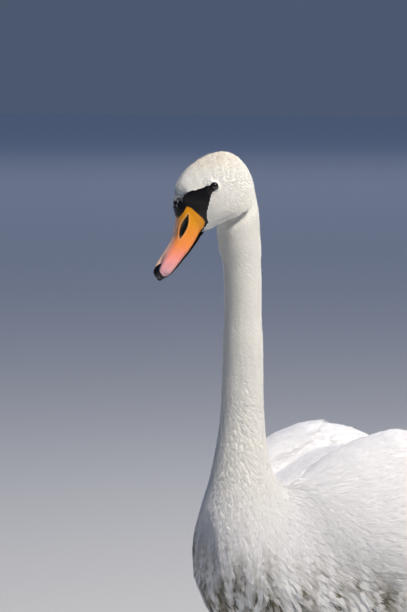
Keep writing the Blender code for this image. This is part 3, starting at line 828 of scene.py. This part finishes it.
def hexCrease(first, second, size):
    # 0 in the middle of a six-sided scale, 1 in the crease between two
    nearest, nextBest = np.full(len(first), 1e9), np.full(len(first), 1e9)
    row = size * math.sqrt(3) / 2
    for shift, di, dj in product((0, 1), (-1, 0, 1), (-1, 0, 1)):
        j = np.round(second / (2 * row)) + dj
        i = np.round(first / size - 0.5 * shift) + di
        far = np.hypot(first - (i + 0.5 * shift) * size, second - (2 * j + shift) * row)
        nextBest = np.minimum(np.maximum(nearest, far), nextBest)
        nearest = np.minimum(nearest, far)
    return smoothStep(0.16, 0.0, (nextBest - nearest) / size)


def scuteCrease(along, low):
    bands = np.abs(np.mod(along / legSizes["scute"], 1.0) - 0.5) * 2
    return smoothStep(low, 1.0, bands)


def makeShank(name, material):
    # broad scutes down the front, small six-sided scales behind
    thing, mesh, points, normals = fineCopy(name, legSizes["voxel"], 4, material)
    low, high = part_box(name)
    middle = nodeMiddle(name)
    lean = (points[:, 2] - middle[2]) * (high.y - low.y - 0.016) / (high.z - low.z)
    angle = np.arctan2(points[:, 0] - middle[0], -(points[:, 1] - middle[1] - lean))
    crease = hexCrease(angle * legSizes["girth"], points[:, 2], legSizes["grain"])
    crease = np.where(np.abs(angle) < legSizes["front"], scuteCrease(points[:, 2], 0.80), crease)
    # its upper end tapers away inside the thigh
    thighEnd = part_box(name.replace("shank", "thigh"))[0].z
    hidden = smoothStep(thighEnd, thighEnd + 0.010, points[:, 2])
    inward = legSizes["taper"] * (points[:, 1] - middle[1] - lean) + legSizes["tuck"]
    points[:, 1] -= hidden * inward
    writePoints(mesh, points - normals * (legSizes["scuteRise"] * crease)[:, None])
    setValues(mesh, pale=crease * 0.7)
    return thing


def makeFoot(name, material):
    # scutes across the toes, small scales over the web
    thing, mesh, points, normals = fineCopy(name, legSizes["voxel"], 2, material)
    ankle = np.array((nodeMiddle(name.replace("foot", "shank"))[0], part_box(name)[1].y - 0.03))
    away = points[:, :2] - ankle
    reach = np.linalg.norm(away, axis=1)
    turn = np.arctan2(away[:, 0], -away[:, 1])
    onTop = (normals[:, 2] > 0.15) & (points[:, 2] > 0.0009)
    toe = smoothStep(0.0026, 0.0045, points[:, 2])
    web = hexCrease(turn * reach, reach, legSizes["grain"])
    crease = np.where(onTop, toe * scuteCrease(reach, 0.78) + (1 - toe) * web * 0.45, 0.0)
    points = points - normals * (legSizes["scuteRise"] * crease)[:, None]
    points[:, 2] = np.maximum(points[:, 2], 0.0)
    writePoints(mesh, points)
    setValues(mesh, pale=crease * 0.6)
    return thing


def makeClaw(name, material):
    thing = addObject(name + "_fine", mergedMesh(name))
    step = thing.modifiers.new("rounder", "SUBSURF")
    step.levels = step.render_levels = 2
    mesh = plainMesh(thing)
    mesh.shade_smooth()
    dress(mesh, material)
    return thing


def travelFromBill(points, links):
    # the way over the skin from the root of the bill, along the edges of the mesh
    first, second, _ = links
    order = np.argsort(first, kind="stable")
    starts = np.searchsorted(first[order], np.arange(len(points) + 1)).tolist()
    steps = np.linalg.norm(points[first] - points[second], axis=1)[order].tolist()
    ends = second[order].tolist()
    far = np.where(bareness(points) > 2.0, 0.0, 2.0).tolist()
    heap = [(0.0, k) for k, value in enumerate(far) if value == 0.0]
    while heap:
        here, k = heapq.heappop(heap)
        if here > far[k]:
            continue
        for place in range(starts[k], starts[k + 1]):
            there = here + steps[place]
            if there < far[ends[place]]:
                far[ends[place]] = there
                heapq.heappush(heap, (there, ends[place]))
    return spread(links, np.array(far), 40)


def readLie(mesh):
    # what the feathers need to know about the skin: its shape, and which way they lie on it
    points, normals, links = readPoints(mesh), readNormals(mesh), neighbours(mesh)
    first, second, _ = links
    travel = travelFromBill(points, links)
    step = points[second] - points[first]
    rise = (travel[second] - travel[first]) / np.maximum((step ** 2).sum(axis=1), 1e-12)
    flow = np.stack([np.bincount(first, rise * step[:, axis], len(points)) for axis in range(3)], axis=1)
    flow = onSurface(flow, normals)
    owner = fleshFinder()(points)
    # away from the bill down the neck and breast, straight back over the body, down the thighs
    onBody = isOn(owner, "trunk", "tail") * smoothStep(-0.16, 0.02, points[:, 1])
    onBody += isOn(owner, *wingNames) * smoothStep(0.03, 0.14, wingShare(points))
    onThigh = isOn(owner, "thigh_left", "thigh_right") * 1.0
    onBody, onThigh = spread(links, np.clip(onBody, 0, 1), 12), spread(links, onThigh, 6)
    back = onSurface(np.broadcast_to((0.0, 1.0, -0.12), points.shape), normals)
    down = onSurface(np.broadcast_to((0.0, 0.3, -1.0), points.shape), normals)
    flow = flow * (1 - onBody)[:, None] + back * onBody[:, None]
    flow = flow * (1 - onThigh)[:, None] + down * onThigh[:, None]
    for _ in range(14):
        flow = spread(links, onSurface(flow, normals), 1)
    triangles = readTriangles(mesh)
    return SimpleNamespace(points=points, normals=normals, links=links, travel=travel, flow=flow,
                           owner=owner, triangles=triangles, tree=surfaceOf(points, triangles))


# The gaps between feathers are parts of their length, which follows below in metres for each node.
# lift is in degrees, steepest and deepest are in radians.
coatSizes = dict(headGap=0.245, neckGap=0.228, bodyGap=0.190, quickGap=2.0, patch=0.003, ruffle=0.04,
                 softness=0.85, neckSoftness=0.83, vaneSoftness=0.70, wingCover=0.30, tailCover=0.45,
                 lift=9.5, steepest=0.6, deepest=0.17, tries=2.2)
featherLength = dict(head=0.0066, neck_upper=0.0084, neck_middle=0.0090, neck_lower=0.0108,
                     breast=0.0112, trunk=0.0190, tail=0.0230, wing_left=0.0170, wing_right=0.0170,
                     thigh_left=0.0160, thigh_right=0.0160)
plumeShapes = dict(wisp=dict(width=0.34, bow=0.07), plume=dict(width=0.32, bow=0.06))


def scatterRoots(lie, gap, weight, seed):
    # random places whose spacing follows the length of the feathers there
    rng = np.random.default_rng(seed)
    corners = lie.points[lie.triangles]
    area = np.linalg.norm(np.cross(corners[:, 1] - corners[:, 0], corners[:, 2] - corners[:, 0]), axis=1) / 2
    gap = gap * 1.0
    wanted = area * weight[lie.triangles].mean(axis=1) / gap[lie.triangles].mean(axis=1) ** 2
    total = int(wanted.sum() * coatSizes["tries"])
    inFace = np.sort(rng.choice(len(area), total, p=wanted / wanted.sum()))
    a, b = rng.random(total), rng.random(total)
    over = a + b > 1
    a[over], b[over] = 1 - a[over], 1 - b[over]
    share = np.stack((1 - a - b, a, b), axis=1)
    corner = lie.triangles[inFace]
    places = (lie.points[corner] * share[:, :, None]).sum(axis=1)
    gaps = (gap[corner] * share).sum(axis=1)
    finder = pointFinder(places)
    free = np.ones(total, bool)
    kept = []
    for k in rng.permutation(total).tolist():
        if free[k]:
            kept.append(k)
            for _, other, _ in finder.find_range(places[k], gaps[k]):
                free[other] = False
    kept = np.array(sorted(kept))
    return corner[kept], share[kept]


def plumeMesh(name, width, bow, tips=3, split=0.36, crown=0.012):
    # a thin closed vane, one long, whose end splits into soft points
    rim = [(-0.12, 0.0), (0.12, 0.0), (0.50, 0.42)]
    for k in range(2 * tips - 1):
        x = 0.44 - 0.88 * k / (2 * tips - 2)
        reach = 1.0 - 0.8 * x * x
        rim.append((x, reach if k % 2 == 0 else reach - split))
    rim.append((-0.50, 0.42))
    points = [(x * width, y, -bow * y * y - 0.08 * x * x) for x, y in rim]
    middle = len(points)
    points += [(0.0, 0.5, crown - bow * 0.25), (0.0, 0.5, 0.002 - bow * 0.25)]
    faces = []
    for k in range(middle):
        n = (k + 1) % middle
        faces += [(k, n, middle), (n, k, middle + 1)]
    mesh = bpy.data.meshes.new(name)
    mesh.from_pydata(points, [], faces)
    mesh.shade_smooth()
    layer = mesh.uv_layers.new(name="vane")
    for loop in mesh.loops:
        x, y, _ = points[loop.vertex_index]
        layer.data[loop.index].uv = (x / width + 0.5, y)
    thing = addObject(name, mesh)
    thing.hide_render = True
    thing.hide_viewport = True
    return thing


def coatTree():
    # lays one feather on every root, turns it along the lie and joins them into one mesh
    tree = bpy.data.node_groups.new("laid feathers", "GeometryNodeTree")
    for name, kind in (("Roots", "NodeSocketGeometry"), ("Feather", "NodeSocketObject"),
                       ("Ruffle", "NodeSocketFloat"), ("Patch", "NodeSocketFloat"),
                       ("Seed", "NodeSocketInt"), ("Material", "NodeSocketMaterial")):
        tree.interface.new_socket(name=name, in_out="INPUT", socket_type=kind)
    tree.interface.new_socket(name="Coat", in_out="OUTPUT", socket_type="NodeSocketGeometry")
    given = addNode(tree, "NodeGroupInput").outputs
    feather = addNode(tree, "GeometryNodeObjectInfo", at0=given["Feather"])
    turn, size, rootPlace, vane = (
        addNode(tree, "GeometryNodeInputNamedAttribute", {"data_type": "FLOAT_VECTOR", "Name": name})
        for name in ("turn", "size", "rootPlace", "vane"))
    tilt = addNode(tree, "FunctionNodeRandomValue", {"data_type": "FLOAT_VECTOR"}, Seed=given["Seed"])
    tilt.inputs["Min"].default_value = (-1.0, -1.0, -1.0)
    tilt.inputs["Max"].default_value = (1.0, 1.0, 1.0)
    stray = addNode(tree, "ShaderNodeVectorMath", {"operation": "SCALE"}, at0=tilt, Scale=given["Ruffle"])
    placed = addNode(tree, "GeometryNodeInstanceOnPoints", Points=given["Roots"],
                     Instance=feather.outputs["Geometry"], Rotation=turn, Scale=size)
    ruffled = addNode(tree, "GeometryNodeRotateInstances", {"Local Space": True},
                      Instances=placed, Rotation=stray)
    real = addNode(tree, "GeometryNodeRealizeInstances", at0=ruffled)
    small = addNode(tree, "ShaderNodeVectorMath", {"operation": "SCALE"}, at0=vane, Scale=given["Patch"])
    where = addNode(tree, "ShaderNodeVectorMath", {"operation": "ADD"}, at0=rootPlace, at1=small)
    stored = addNode(tree, "GeometryNodeStoreNamedAttribute",
                     {"data_type": "FLOAT2", "domain": "CORNER", "Name": "OFBake"},
                     Geometry=real, Value=where)
    done = addNode(tree, "GeometryNodeSetMaterial", Geometry=stored, Material=given["Material"])
    addNode(tree, "NodeGroupOutput", at0=done)
    return tree


def softenShading(mesh, ups, share):
    # down and loose barbs scatter the light, so a feather is shaded partly as the body under it
    own = readFlat(mesh.corner_normals, "vector")
    flat = np.repeat(readFlat(mesh.polygons, "normal"), readIndices(mesh.polygons, "loop_total"), axis=0)
    body = ups[readIndices(mesh.loops, "vertex_index")]
    side = np.where((flat * body).sum(axis=1) < 0, -1.0, 1.0)[:, None]
    mixed = unit((1 - share) * own + share * side * body)
    mesh.normals_split_custom_set(mixed.tolist())


def anglesFrom(across, along, up):
    # the XYZ turn whose axes are these three, for many feathers at once
    flat = np.hypot(across[:, 0], across[:, 1])
    return np.stack((np.arctan2(along[:, 2], up[:, 2]), np.arctan2(-across[:, 2], flat),
                     np.arctan2(across[:, 1], across[:, 0])), axis=1)


def axesOf(flow, normals, lift, yaw):
    # a feather's own axes: turned by yaw on the skin, then its tip lifted off it
    along = onSurface(flow, normals)
    across = np.cross(along, normals)
    c, s = np.cos(yaw)[:, None], np.sin(yaw)[:, None]
    along, across = along * c + across * s, across * c - along * s
    c, s = np.cos(lift)[:, None], np.sin(lift)[:, None]
    return across, along * c + normals * s, normals * c - along * s


def unwrapRoots(lie, travel, places):
    # the skin opened out: once round the bird across, from bill to tail upwards
    bins = np.linspace(lie.travel.min(), lie.travel.max(), 40)
    slot = np.digitize(lie.travel, bins)
    full = [k for k in range(1, 41) if (slot == k).any()]
    centre = np.array([lie.points[slot == k].mean(axis=0) for k in full])
    at = bins[np.array(full) - 1]
    line, after = (np.stack([np.interp(travel + more, at, centre[:, axis]) for axis in range(3)], axis=1)
                   for more in (0.0, 0.02))
    back = np.cross(unit(after - line), (1.0, 0.0, 0.0))
    off = places - line
    turn = np.arctan2(off[:, 0], (off * back).sum(axis=1)) / (2 * math.pi) + 0.5
    rise = (travel - travel.min()) / max(np.ptp(travel), 1e-6)
    return np.stack((0.003 + 0.99 * turn, 0.003 + 0.99 * rise, np.zeros(len(rise))), axis=1)


def finishCoat(thing, mesh, ups, count, softness):
    softenShading(mesh, ups, softness)
    mesh.uv_layers.active = mesh.uv_layers["OFBake"]
    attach(thing, "root")
    say(f"{thing.name}: {count} feathers, {len(readTriangles(mesh))} triangles")


def growCoat(name, lie, chosen, roots, tree, feather, material, seed):
    # one piece of the coat from the chosen roots
    pick = np.nonzero(chosen)[0]
    mesh = bpy.data.meshes.new(name)
    mesh.from_pydata(roots["places"][pick].tolist(), [], [])
    for key in ("cream", "buff", "mud", "tone", "size", "turn", "ups"):
        setValues(mesh, **{key: roots[key][pick]})
    setValues(mesh, rootPlace=unwrapRoots(lie, roots["travel"][pick], roots["places"][pick]))
    thing = addObject(name, mesh)
    step = thing.modifiers.new("feathers", "NODES")
    step.node_group = tree
    given = dict(Feather=feather, Ruffle=coatSizes["ruffle"], Patch=coatSizes["patch"], Seed=seed,
                 Material=material)
    for socket in tree.interface.items_tree:
        if socket.name in given:
            step[socket.identifier] = given[socket.name]
    mesh = plainMesh(thing)
    ups = readFlat(mesh.attributes["ups"].data, "vector")
    for key in ("turn", "size", "rootPlace", "ups"):
        mesh.attributes.remove(mesh.attributes[key])
    finishCoat(thing, mesh, ups, len(pick), coatSizes["neckSoftness" if "neck" in name else "softness"])


def planCoat(lie):
    # the length of the feathers at every point of the skin, and where no small ones grow
    length = np.array([featherLength[name] for name in fleshNames])[lie.owner]
    bare, eyes = bareness(lie.points, "specks"), eyeDistance(lie.points)
    share = wingShare(lie.points)
    onFace = np.minimum(smoothStep(0, 30, -bare), smoothStep(5, 26, eyes))
    length = np.where(isOn(lie.owner, "head"), length * (0.55 + 0.45 * onFace), length)
    onWing = isOn(lie.owner, *wingNames)
    length = np.where(onWing, length * (0.8 + 2.6 * np.minimum(share, coatSizes["wingCover"])), length)
    under = smoothStep(0.1, -0.5, lie.normals[:, 2]) * smoothStep(-0.16, -0.04, lie.points[:, 1])
    length = spread(lie.links, length * (1 + 0.35 * under * isOn(lie.owner, "trunk")), 25)
    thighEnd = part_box("thigh_left")[0].z + 0.002
    low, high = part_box("tail")
    onVanes = lie.points[:, 1] > low.y + coatSizes["tailCover"] * (high.y - low.y)
    onVanes = onVanes & isOn(lie.owner, "tail") | onWing & (share > coatSizes["wingCover"])
    return length, (bare > 0.4) | onVanes | (lie.points[:, 2] < thighEnd)


def slopeUnder(lie, places, normals, flow, size):
    # how far the body rises or falls under the middle and the tip of each feather
    slopes = []
    for reach in (0.5, 1.0):
        tips = places + unit(flow) * (reach * size)[:, None]
        under = np.array([lie.tree.find_nearest(tip)[0] for tip in tips.tolist()])
        slopes.append(np.arctan2(((under - places) * normals).sum(axis=1), reach * size))
    return np.clip(np.maximum(*slopes), -coatSizes["deepest"], coatSizes["steepest"])


def smallFeathers(lie, material):
    length, covered = planCoat(lie)
    onNeck = isOn(lie.owner, *neckNames)
    gap = np.where(onNeck, coatSizes["neckGap"], coatSizes["bodyGap"])
    gap = length * np.where(isOn(lie.owner, "head"), coatSizes["headGap"], gap)
    corner, inside = scatterRoots(lie, gap, np.where(covered, 0.0, 1.0), seed=11)

    def here(values):
        return (values[corner] * (inside[:, :, None] if values.ndim > 1 else inside)).sum(axis=1)

    places, normals, flow = here(lie.points), unit(here(lie.normals)), here(lie.flow)
    size, travel, root = here(length), here(lie.travel), lie.owner[corner[:, 0]]
    rng = np.random.default_rng(5)
    # over the knob the feathers thin out to a few white specks
    ahead, above, _ = inHead(places)
    thin = smoothStep(-11, -20, above) * (ahead > 30)
    # the light runs straight down from the forehead over the knob
    steady = (smoothStep(28, 33, ahead) * smoothStep(2, -8, above))[:, None]
    keep = (bareness(places, "specks") < -0.3) & (eyeDistance(places) > face["eyeRing"] + 0.2)
    keep &= rng.random(len(places)) > 0.80 * thin
    size = size * (1 - 0.35 * thin)
    places, normals, flow, size, travel, root, steady = (
        values[keep] for values in (places, normals, flow, size, travel, root, steady))
    count = len(places)
    low = smoothStep(0.41, 0.30, places[:, 2]) * smoothStep(0.0, -0.16, places[:, 1])
    # the coat lies close and even on head, neck and body, and breaks into clumps low on the breast
    waves = lumps(places, 0.010, 1) + 0.6 * lumps(places, 0.023, 2)
    clumps = lumps(places * (1.0, 1.0, 0.5), 0.022, 3)
    onWing = isOn(root, *wingNames) * (2.5 + 4.5 * smoothStep(0.13, 0.30, wingShare(places)))
    lift = coatSizes["lift"] - onWing + (0.5 + 0.6 * low) * waves
    lift = np.radians(lift + 0.6 * rng.normal(size=count) + 6.0 * low * clumps)
    lift += slopeUnder(lie, places, normals, flow, size)
    yaw = 0.08 * rng.normal(size=count) + (0.06 + 0.08 * low) * lumps(places, 0.013, 6)
    yaw += 0.30 * low * lumps(places, 0.03, 7)
    across, along, up = axesOf(flow, normals, lift, yaw)
    marks = markings(places)
    long = size * (1 + 0.16 * rng.uniform(-1, 1, count)) * (1 + 0.35 * low)
    wide = long * (1 - 0.25 * low)
    raised = 0.0007 * smoothStep(3.0, 1.5, distanceFrom("knob", places)) - 0.00015
    roots = dict(places=places + normals * raised[:, None], travel=travel, turn=anglesFrom(across, along, up),
                 ups=unit(up * (1 - steady) + (0.95 * headAhead + 0.15 * headUp) * steady),
                 cream=marks["cream"], buff=marks["buff"] * rng.uniform(0.2, 1.0, count),
                 mud=marks["mud"] * rng.uniform(0.5, 1.0, count), tone=rng.random(count),
                 size=np.stack((wide, long, wide), axis=1))
    feathers = {name: plumeMesh(name, **shape) for name, shape in plumeShapes.items()}
    tree = coatTree()
    on = {name: root == k for k, name in enumerate(fleshNames)}
    first, second = np.quantile(travel[on["head"]], (0.34, 0.67))
    leftSide, onTop, inFront = places[:, 0] > 0, normals[:, 2] > 0, places[:, 1] < -0.08
    finePieces = {"coat_face": on["head"] & (travel < first), "coat_nape": on["head"] & (travel >= second),
                  "coat_crown": on["head"] & (travel >= first) & (travel < second),
                  **{f"coat_{name}": on[name] for name in neckNames}}
    pieces = {**finePieces,
              "coat_breast_left": on["breast"] & leftSide, "coat_breast_right": on["breast"] & ~leftSide,
              "coat_back": on["trunk"] & onTop, "coat_belly_front": on["trunk"] & ~onTop & inFront,
              "coat_belly": on["trunk"] & ~onTop & ~inFront, "coat_tail": on["tail"],
              "coat_shoulder_left": on["wing_left"], "coat_shoulder_right": on["wing_right"],
              "coat_thighs": on["thigh_left"] | on["thigh_right"]}
    for seed, (name, chosen) in enumerate(pieces.items()):
        feather = feathers["wisp" if name in finePieces else "plume"]
        growCoat(name, lie, chosen, roots, tree, feather, material, seed)
    for thing in feathers.values():
        bpy.data.objects.remove(thing, do_unlink=True)


# Long feathers follow the skin from their root. The tables give length and width along the wing,
# whose feathers fan out from a line through its heart and run to its tip.
vaneSizes = dict(thick=0.0003, rise=0.0010, camber=0.05, roll=0.05, stations=(6, 12), station=0.010,
                 shares=(0.21, 0.32, 0.45, 0.62, 0.75, 0.86),
                 lengths=(0.048, 0.064, 0.090, 0.135, 0.140, 0.100),
                 widths=(0.025, 0.030, 0.034, 0.036, 0.034, 0.026),
                 step=0.30, beside=0.60, firstTurn=-46.0, lastTurn=112.0, flightFrom=0.50, bendFrom=0.55,
                 heart=(0.31, 0.385), tip=(0.012, 0.350), beyond=(-0.010, 0.05, -0.010))
vaneRim = ((-1.0, -0.5), (-0.55, 0.35), (0.0, 1.0), (0.55, 0.35), (1.0, -0.5), (0.0, -0.9))


def layVane(lie, blades, root, aim, length, width, tone, tip=None):
    # a closed blade over the skin, rising towards its tip so that it rides over the next row
    fewest, most = vaneSizes["stations"]
    count = int(np.clip(round(length / vaneSizes["station"]), fewest, most))
    spot, normal, _, _ = lie.tree.find_nearest(Vector(root))
    ahead = Vector(aim)
    start = len(blades.points)
    for k in range(count):
        part = k / (count - 1)
        ahead = (ahead - normal * ahead.dot(normal)).normalized()
        across = ahead.cross(normal).normalized()
        rounded = math.sqrt(max(0.0, 1 - max(0.0, (part - 0.66) / 0.34) ** 2.2))   # broad, then a round tip
        half = max(width / 2 * min(1.0, 0.35 + 3.4 * part) * rounded, 0.0005)
        high = vaneSizes["rise"] * (2.3 * part - 0.8)
        for off, up in vaneRim:
            place = spot + across * (half * off)
            bend = 0.0
            if off:
                bend = (lie.tree.find_nearest(place)[0] - place).dot(normal)
                bend = max(-half * 0.7, min(half * 0.35, bend))
            lowered = vaneSizes["thick"] * up - vaneSizes["camber"] * half * off * off
            rolled = vaneSizes["roll"] * half * off
            blades.points.append(place + normal * (high + bend + lowered + rolled))
            blades.ups.append(normal)
            blades.vane.append((off / 2 + 0.5, part))
        after = spot + ahead * (length / (count - 1))
        found, turned, _, far = lie.tree.find_nearest(after)
        if far < 0.006 and turned.dot(normal) > 0.80:
            spot = found
            normal = normal.lerp(turned, 0.7).normalized()
        elif tip is None:
            if part < 0.75:
                del blades.points[start:], blades.ups[start:], blades.vane[start:]
                return
            spot = after
        else:
            spot = after
            ahead = ahead.lerp((tip - spot).normalized(), 0.6)
    rim = len(vaneRim)
    blades.owner += [len(blades.roots)] * (count * rim)
    blades.tones += [tone] * (count * rim)
    blades.roots.append(root)
    for k in range(start, start + (count - 1) * rim, rim):
        for side in range(rim):
            blades.faces.append((k + side, k + (side + 1) % rim, k + (side + 1) % rim + rim, k + side + rim))
    blades.faces.append(tuple(range(start + rim - 1, start - 1, -1)))
    blades.faces.append(tuple(range(start + (count - 1) * rim, start + count * rim)))


def newBlades():
    return SimpleNamespace(points=[], faces=[], vane=[], ups=[], owner=[], tones=[], roots=[])


def makeBlades(name, lie, blades, material):
    mesh = bpy.data.meshes.new(name)
    mesh.from_pydata([tuple(p) for p in blades.points], [], blades.faces)
    with editing(mesh) as work:
        bmesh.ops.recalc_face_normals(work, faces=work.faces)
    mesh.shade_smooth()
    marks = markings(readPoints(mesh))
    setValues(mesh, cream=marks["cream"], buff=marks["buff"], mud=marks["mud"], tone=blades.tones)
    roots = np.array(blades.roots)
    nearest = [lie.triangles[lie.tree.find_nearest(r)[2]][0] for r in roots.tolist()]
    where = unwrapRoots(lie, lie.travel[nearest], roots)[:, :2]
    inPoint = readIndices(mesh.loops, "vertex_index")
    vane = np.array(blades.vane)[inPoint]
    patch = where[np.array(blades.owner)[inPoint]] + vane * coatSizes["patch"]
    for layerName, values in (("vane", vane), ("OFBake", patch)):
        layer = mesh.uv_layers.new(name=layerName)
        layer.data.foreach_set("uv", values.astype(np.float32).ravel())
    thing = addObject(name, mesh, material)
    finishCoat(thing, mesh, np.array(blades.ups), len(roots), coatSizes["vaneSoftness"])


def wingVanes(side, name, lie, material):
    low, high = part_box("wing_left")
    inward, tipHeight = vaneSizes["tip"]
    tip = Vector((side * inward, high.y, tipHeight))
    beyond = tip + Vector((side, 1.0, 1.0)) * Vector(vaneSizes["beyond"])
    heartX, heartZ = side * high.x * vaneSizes["heart"][0], vaneSizes["heart"][1]
    pieces = [newBlades(), newBlades()]
    rng = np.random.default_rng(21 + side)
    share = vaneSizes["shares"][0]
    row = 0
    while share < vaneSizes["shares"][-1]:
        length, width = (float(np.interp(share, vaneSizes["shares"], vaneSizes[key]))
                         for key in ("lengths", "widths"))
        y = low.y + (high.y - low.y) * share
        girth = 0.34 * math.sin(math.pi * (0.12 + 0.80 * share)) + 0.05
        count = max(4, int(girth / (width * vaneSizes["beside"])))
        for k in range(count):
            part = (k + 0.5 * (row % 2) + rng.uniform(-0.2, 0.2)) / count
            span = vaneSizes["lastTurn"] - vaneSizes["firstTurn"]
            turn = math.radians(vaneSizes["firstTurn"] + span * part)
            way = Vector((side * math.cos(turn), 0.0, math.sin(turn)))
            start = Vector((heartX, y + rng.uniform(-0.3, 0.3) * length * vaneSizes["step"], heartZ))
            hit = lie.tree.ray_cast(start + way * 0.4, -way, 0.5)[0]
            if hit is None or hit.x * side < 0.004:
                continue
            facing = lie.tree.find_nearest(hit)[1]
            if facing.dot(way) < 0.35 or facing.y < -0.55:
                continue
            toTip = tip - hit
            aim = Vector((0.0, 0.55, -0.05)) + toTip.normalized() * 0.45
            reach = min(length * rng.uniform(0.92, 1.06), toTip.length + 0.012)
            layVane(lie, pieces[int(share > vaneSizes["flightFrom"])], tuple(hit), aim, reach,
                    width * rng.uniform(0.93, 1.05), float(rng.random()),
                    beyond if share > vaneSizes["bendFrom"] else None)
        share += vaneSizes["step"] * length / (high.y - low.y)
        row += 1
    for blades, part in zip(pieces, ("coverts", "flight")):
        makeBlades(f"{name}_{part}", lie, blades, material)


tailSizes = dict(rows=((1, 9), (-1, 11)), halfRoot=0.052, cover=0.045, halfTip=0.075, width=0.030,
                 past=0.02, drop=0.004)


def tailVanes(lie, material):
    # tail feathers fan out above and below the root of the tail
    low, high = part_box("tail")
    middle = (low.z + high.z) / 2
    blades = newBlades()
    rng = np.random.default_rng(8)
    for above, count in tailSizes["rows"]:
        for k in range(count):
            part = -1 + 2 * (k + 0.5) / count
            start = Vector((tailSizes["halfRoot"] * part, low.y + tailSizes["cover"], middle + 0.08 * above))
            hit = lie.tree.ray_cast(start, Vector((0, 0, -above)), 0.12)[0]
            if hit is None:
                continue
            aim = Vector((0.30 * part, 1.0, -0.14))
            reach = (high.y - hit.y) * (1.0 - 0.20 * part * part) * rng.uniform(0.97, 1.0)
            tip = (tailSizes["halfTip"] * part, high.y + tailSizes["past"], middle - tailSizes["drop"])
            layVane(lie, blades, tuple(hit), aim, reach, tailSizes["width"], float(rng.random()), Vector(tip))
    makeBlades("tail_feathers", lie, blades, material)


# Each lamp has its place, its size in metres, its watts and its colour.
stageSizes = dict(floor=90.0, floorHex="d4d4d1", skyHex="a0b6e0", skyPower=0.21,
                  evenHex="84aaff", evenPower=0.334, evenSpread=60, bird=(0.0, -0.25, 0.50),
                  lamps={"key": ((3.35, -0.38, 5.3), 0.8, 430.0, "fff6e8"),
                         "rim": ((-0.8, 2.8, 2.2), 1.6, 6.0, "eef3ff"),
                         "floor light": ((-14.0, 18.5, 16.0), 16.0, 420.0, "eef3ff")})


def softLight(name, aim):
    place, size, power, colour = stageSizes["lamps"][name]
    lamp = bpy.data.lights.new(name, "AREA")
    lamp.shape = "DISK"
    lamp.size = size
    lamp.energy = power
    lamp.color = linear(colour)[:3]
    thing = addObject(name, lamp)
    thing.location = place
    thing.rotation_euler = (Vector(aim) - Vector(place)).to_track_quat("-Z", "Y").to_euler()


def makeStage():
    half = stageSizes["floor"]
    mesh = bpy.data.meshes.new("floor")
    corners = [(-half, -half, 0), (half, -half, 0), (half, half, 0), (-half, half, 0)]
    mesh.from_pydata(corners, [], [(0, 1, 2, 3)])
    # painted floor: matt and even
    material, *_ = startMaterial("matt floor paint", Base_Color=linear(stageSizes["floorHex"]), Roughness=0.9)
    addObject("floor", mesh, material)
    world = bpy.data.worlds.new("soft sky")
    world.use_nodes = True
    back = world.node_tree.nodes["Background"]
    back.inputs[0].default_value = linear(stageSizes["skyHex"])
    back.inputs[1].default_value = stageSizes["skyPower"]
    bpy.context.scene.world = world
    bpy.context.scene.view_settings.view_transform = "Standard"
    softLight("key", stageSizes["bird"])
    softLight("rim", stageSizes["bird"])
    # a faint blue light from above brings the far floor nearly up to the sky, to hide the horizon
    even = bpy.data.lights.new("even light", "SUN")
    even.energy = stageSizes["evenPower"]
    even.angle = math.radians(stageSizes["evenSpread"])
    even.color = linear(stageSizes["evenHex"])[:3]
    addObject("even light", even)
    softLight("floor light", (*stageSizes["lamps"]["floor light"][0][:2], 0.0))


cameraSizes = dict(azimuth=40.0, distance=3.2, height=0.94, down=4.71, yaw=0.884, lens=150.6)


def makeCamera():
    # stands ahead of the bird on its left and looks a little down at the neck
    data = bpy.data.cameras.new("camera")
    data.lens = cameraSizes["lens"]
    data.sensor_width = 36.0
    data.clip_end = 300.0
    thing = addObject("camera", data)
    turn = math.radians(cameraSizes["azimuth"])
    away = Vector((math.sin(turn), -math.cos(turn), 0.0)) * cameraSizes["distance"]
    thing.location = Vector((neckMiddle[0], neckMiddle[1], cameraSizes["height"])) + away
    down, yaw = math.radians(cameraSizes["down"]), math.radians(cameraSizes["yaw"])
    thing.rotation_euler = (math.pi / 2 - down, 0.0, turn + yaw)
    bpy.context.scene.camera = thing


softWhite = plumage("soft white plumage")
vaneWhite = plumage("smooth white vanes", vanes=True)
blackSkin = bareMaterial("oily black bare skin", 0.27, 1100.0, 0.0)   # pebbles of 0.9 mm
horn = bareMaterial("keratin bill horn", 0.38, 0.0, 0.12)   # satin, faintly grained
glass, scaled, claw = eyeGlass(), legSkin(), clawHorn()

skin, cover = makeSkin(softWhite, blackSkin, horn)
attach(skin, "root")
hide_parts(*fleshNames)

lie = readLie(skin.data)
say("lie of the feathers")
smallFeathers(lie, softWhite)
wingVanes(1, "wing_left", lie, vaneWhite)
wingVanes(-1, "wing_right", lie, vaneWhite)
tailVanes(lie, vaneWhite)

fineParts = [("bill_upper", "bill_horn", makeUpperBill(horn, cover)),
             ("bill_lower", "bill_edge", makeLowerBill(horn)),
             ("knob", "bare_skin", makeKnob(blackSkin))]
say("bill")
for side in ("left", "right"):
    fineParts.append((f"eye_{side}", "eye", makeEye(f"eye_{side}", glass)))
    fineParts.append((f"shank_{side}", "leg_skin", makeShank(f"shank_{side}", scaled)))
    fineParts.append((f"foot_{side}", "leg_skin", makeFoot(f"foot_{side}", scaled)))
    for number in range(1, 5):
        name = f"claw_{side}_{number}"
        fineParts.append((name, "claw_horn", makeClaw(name, claw)))
for name, slotName, piece in fineParts:
    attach(piece, "root")
    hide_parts(name)
say("eyes and legs")

makeStage()
makeCamera()

bpy.context.view_layer.update()
